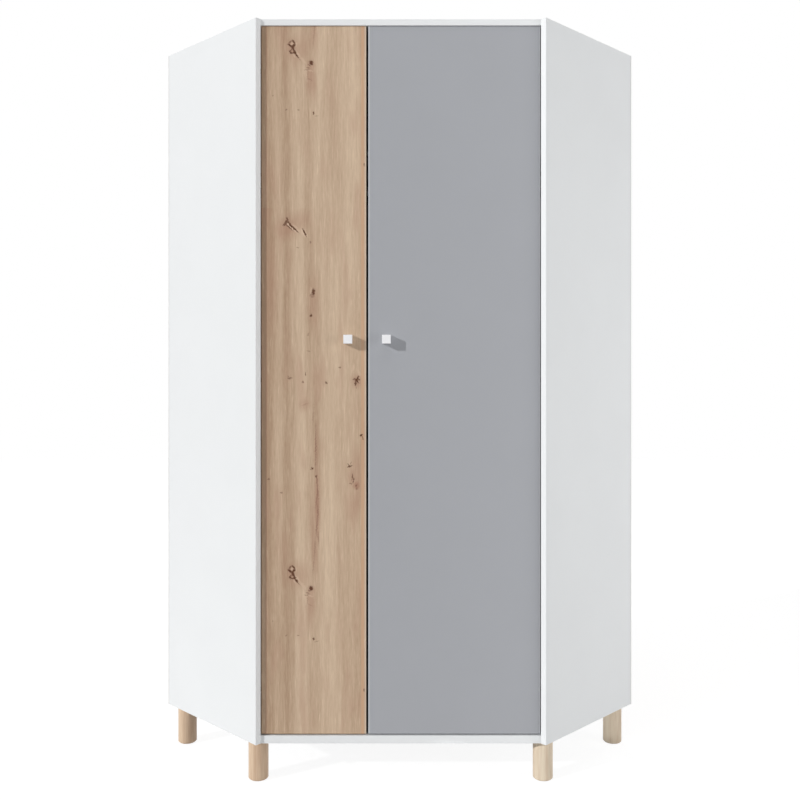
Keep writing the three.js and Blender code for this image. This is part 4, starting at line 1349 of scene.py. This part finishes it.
arm = arm_part()
eye = turned_part(EYE_PROFILE, 32, rounding=0.2, closed=True)
for name, side, hinge in HINGES:
    node = f"hinge_arm_{hinge}"
    pin = middle_of(f"hinge_pin_{name}_middle")
    at_pin = at(pin.x, pin.y, middle_of(node).z) @ Matrix.Diagonal((-side, 1, 1, 1))
    bent = steel_piece(f"bent_arm_{hinge}", (arm, at_pin), node=node)
    bent.modifiers.clear()
    thick = bent.modifiers.new("thickness", "SOLIDIFY")
    thick.thickness = ARM_THICKNESS * MM
    thick.offset = 0
    thick.use_even_offset = True
    eased = bent.modifiers.new("eased edges", "BEVEL")
    eased.width = ARM_EASING * MM
    eased.segments = 2
    eased.angle_limit = math.radians(50)
    bent.modifiers.new("weighted normals", "WEIGHTED_NORMAL").keep_sharp = True
    steel_piece(f"arm_eye_{hinge}", (eye, at_pin))
print("an arm's sheet has", len(arm.faces), "faces")

# %% [markdown]
# The mounting plate is die-cast: a base under the arm, two wings with a screw each, and a ridge
# that the arm is clamped on. Casting leaves no sharp edge, so three plates with eased edges, laid
# over each other in one mesh, look like one piece. Two screws sit on the arm itself. One clamps
# it, and the other one sets the door sideways.

# %% Hinge plates and their screws
BOARD = 16.0
PLATE_RUN = 46.0  # middle of the plate, along the side panel from its near edge
PLATE_TOP = SEAT_GAP + 2.0
RIDGE_TOP = SEAT_GAP + 5.7
CLAMP_RUN = 54.5
SIDE_SCREW_RUN = 35.0
WING_SCREW = 16  # up or down from the plate's middle
ARM_OFFSET = 7.3  # middle of the arm over the side panel
ARM_TOP = ARM_OFFSET + ARM_THICKNESS / 2


def panel_point(side, run, inset, height):
    """A place in millimetres: run along a side panel, inset from its outer face, and height."""
    low, high = box_of("side_panel_left" if side < 0 else "side_panel_right")
    inner_x = min(abs(low.x), abs(high.x))
    near_corner = Vector((side * (inner_x + BOARD * SLANT), low.y, height))
    return near_corner + run * out_of_wall(side) + inset * out_of_wall(-side)


def on_panel(side, run, height, out=0.0):
    """Axes so far out of a side panel's inner face, with Z into the wardrobe."""
    return axes(panel_point(side, run, BOARD + out, height), out_of_wall(side), out_of_wall(-side))


plate_parts = [
    plate_part(36, 16, 2, SEAT_GAP, PLATE_TOP, easing=0.4),
    plate_part(16, 50, 4, SEAT_GAP, PLATE_TOP, easing=0.5),
    plate_part(36, 9.2, 1, SEAT_GAP + 0.5, RIDGE_TOP, easing=0.5),
]
wing_screw = screw_part(9, 2.4)
clamp_screw = screw_part(7.6, 2.2, 4, 4)
side_screw = screw_part(6, 1.4)
for name, side, hinge in HINGES:
    node = f"hinge_plate_{hinge}"
    height = middle_of(node).z
    on_plate = on_panel(side, PLATE_RUN, height)
    steel_piece(f"cast_plate_{hinge}", *[(part, on_plate) for part in plate_parts], node=node)
    steel_piece(
        f"plate_screws_{hinge}",
        (wing_screw, on_panel(side, PLATE_RUN, height - WING_SCREW, PLATE_TOP)),
        (wing_screw, on_panel(side, PLATE_RUN, height + WING_SCREW, PLATE_TOP)),
        (clamp_screw, on_panel(side, CLAMP_RUN, height, ARM_TOP)),
        (side_screw, on_panel(side, SIDE_SCREW_RUN, height, ARM_TOP)),
    )
print("mounting plates:", len(HINGES))

# %% [markdown]
# ## Cover caps
#
# The boards are pulled together by cam fittings, and each cam is hidden under a round white cap.
# They show inside: on the bottom board, and under the shelf and the top board. A flat disc would
# do from far away. The real cap has a slanted rim and a fine groove, and a spun profile gives
# both at once.

# %% Cover caps
CAP_PROFILE = [
    (0, -0.3), (7.5, -0.3), (7.5, 0.1), (6.6, 0.6), (5.7, 0.7), (5.3, 0.5), (4.9, 0.7), (0, 0.7),
]
CAP_INSET = 50.0
CAP_RUNS = (150.0, 350.0)
cap = turned_part(CAP_PROFILE, 32)
cap_heights = {
    "bottom_caps": (box_of("bottom_panel")[1].z, 1),
    "shelf_caps": (box_of("hat_shelf")[0].z, -1),
    "top_caps": (box_of("top_panel")[0].z, -1),
}
for name, (height, way) in cap_heights.items():
    spots = [panel_point(side, run, CAP_INSET, height) for side in SIDES.values() for run in CAP_RUNS]
    caps = assemble(*[(cap, axes(spot, (1, 0, 0), (0, 0, way))) for spot in spots])
    finish_piece(caps, name, "white_board", cap_plastic)
print("cover caps:", len(spots) * len(cap_heights))

# %% [markdown]
# ## Back nails
#
# The thin back sheets are nailed to every board they touch. Dots of paint would show where the
# nails are, but only a real head catches the light and throws a shadow. It is a shallow turned
# dome of few faces, because there are so many.

# %% Back nails
NAIL_PROFILE = [(0, -0.1), (2.9, -0.1), (2.9, 0.1), (1.8, 0.4), (0, 0.5)]
NAIL_HEIGHTS = range(160, 1916, 135)  # up the side panel and the corner batten
BATTEN_INSET = 930.0
NAIL_INSETS = range(90, 859, 128)  # along the level boards
WALL_DEPTH = 420.0  # outer face of a back sheet, along the side panel from its near edge
nail = turned_part(NAIL_PROFILE, 12)
nail_places = [(inset, height) for inset in (BOARD / 2, BATTEN_INSET) for height in NAIL_HEIGHTS]
for inset in NAIL_INSETS:
    nail_places += [(inset, middle_of(node).z) for node in ("top_panel", "bottom_panel", "hat_shelf")]
for name, side in SIDES.items():
    spots = [panel_point(side, WALL_DEPTH, inset, height) for inset, height in nail_places]
    nails = [(nail, axes(spot, (0, 0, 1), out_of_wall(side))) for spot in spots]
    steel_piece(f"back_nails_{name}", *nails)
    print("nails on the", name, "sheet:", len(nails))

# %% [markdown]
# ## Finishes on the nodes that stay
#
# What already has its right shape keeps its CAD mesh and only gets a material. These are the
# bolts in the legs and the pins of the hinges. A CAD node comes with one material slot, and the
# finish goes into it.

# %% Finishes on CAD nodes
shown = [node for node in nodes.values() if not node.hide_render]
for node in shown:
    node.material_slots[0].material = nickel
print("CAD nodes that show:", len(shown))
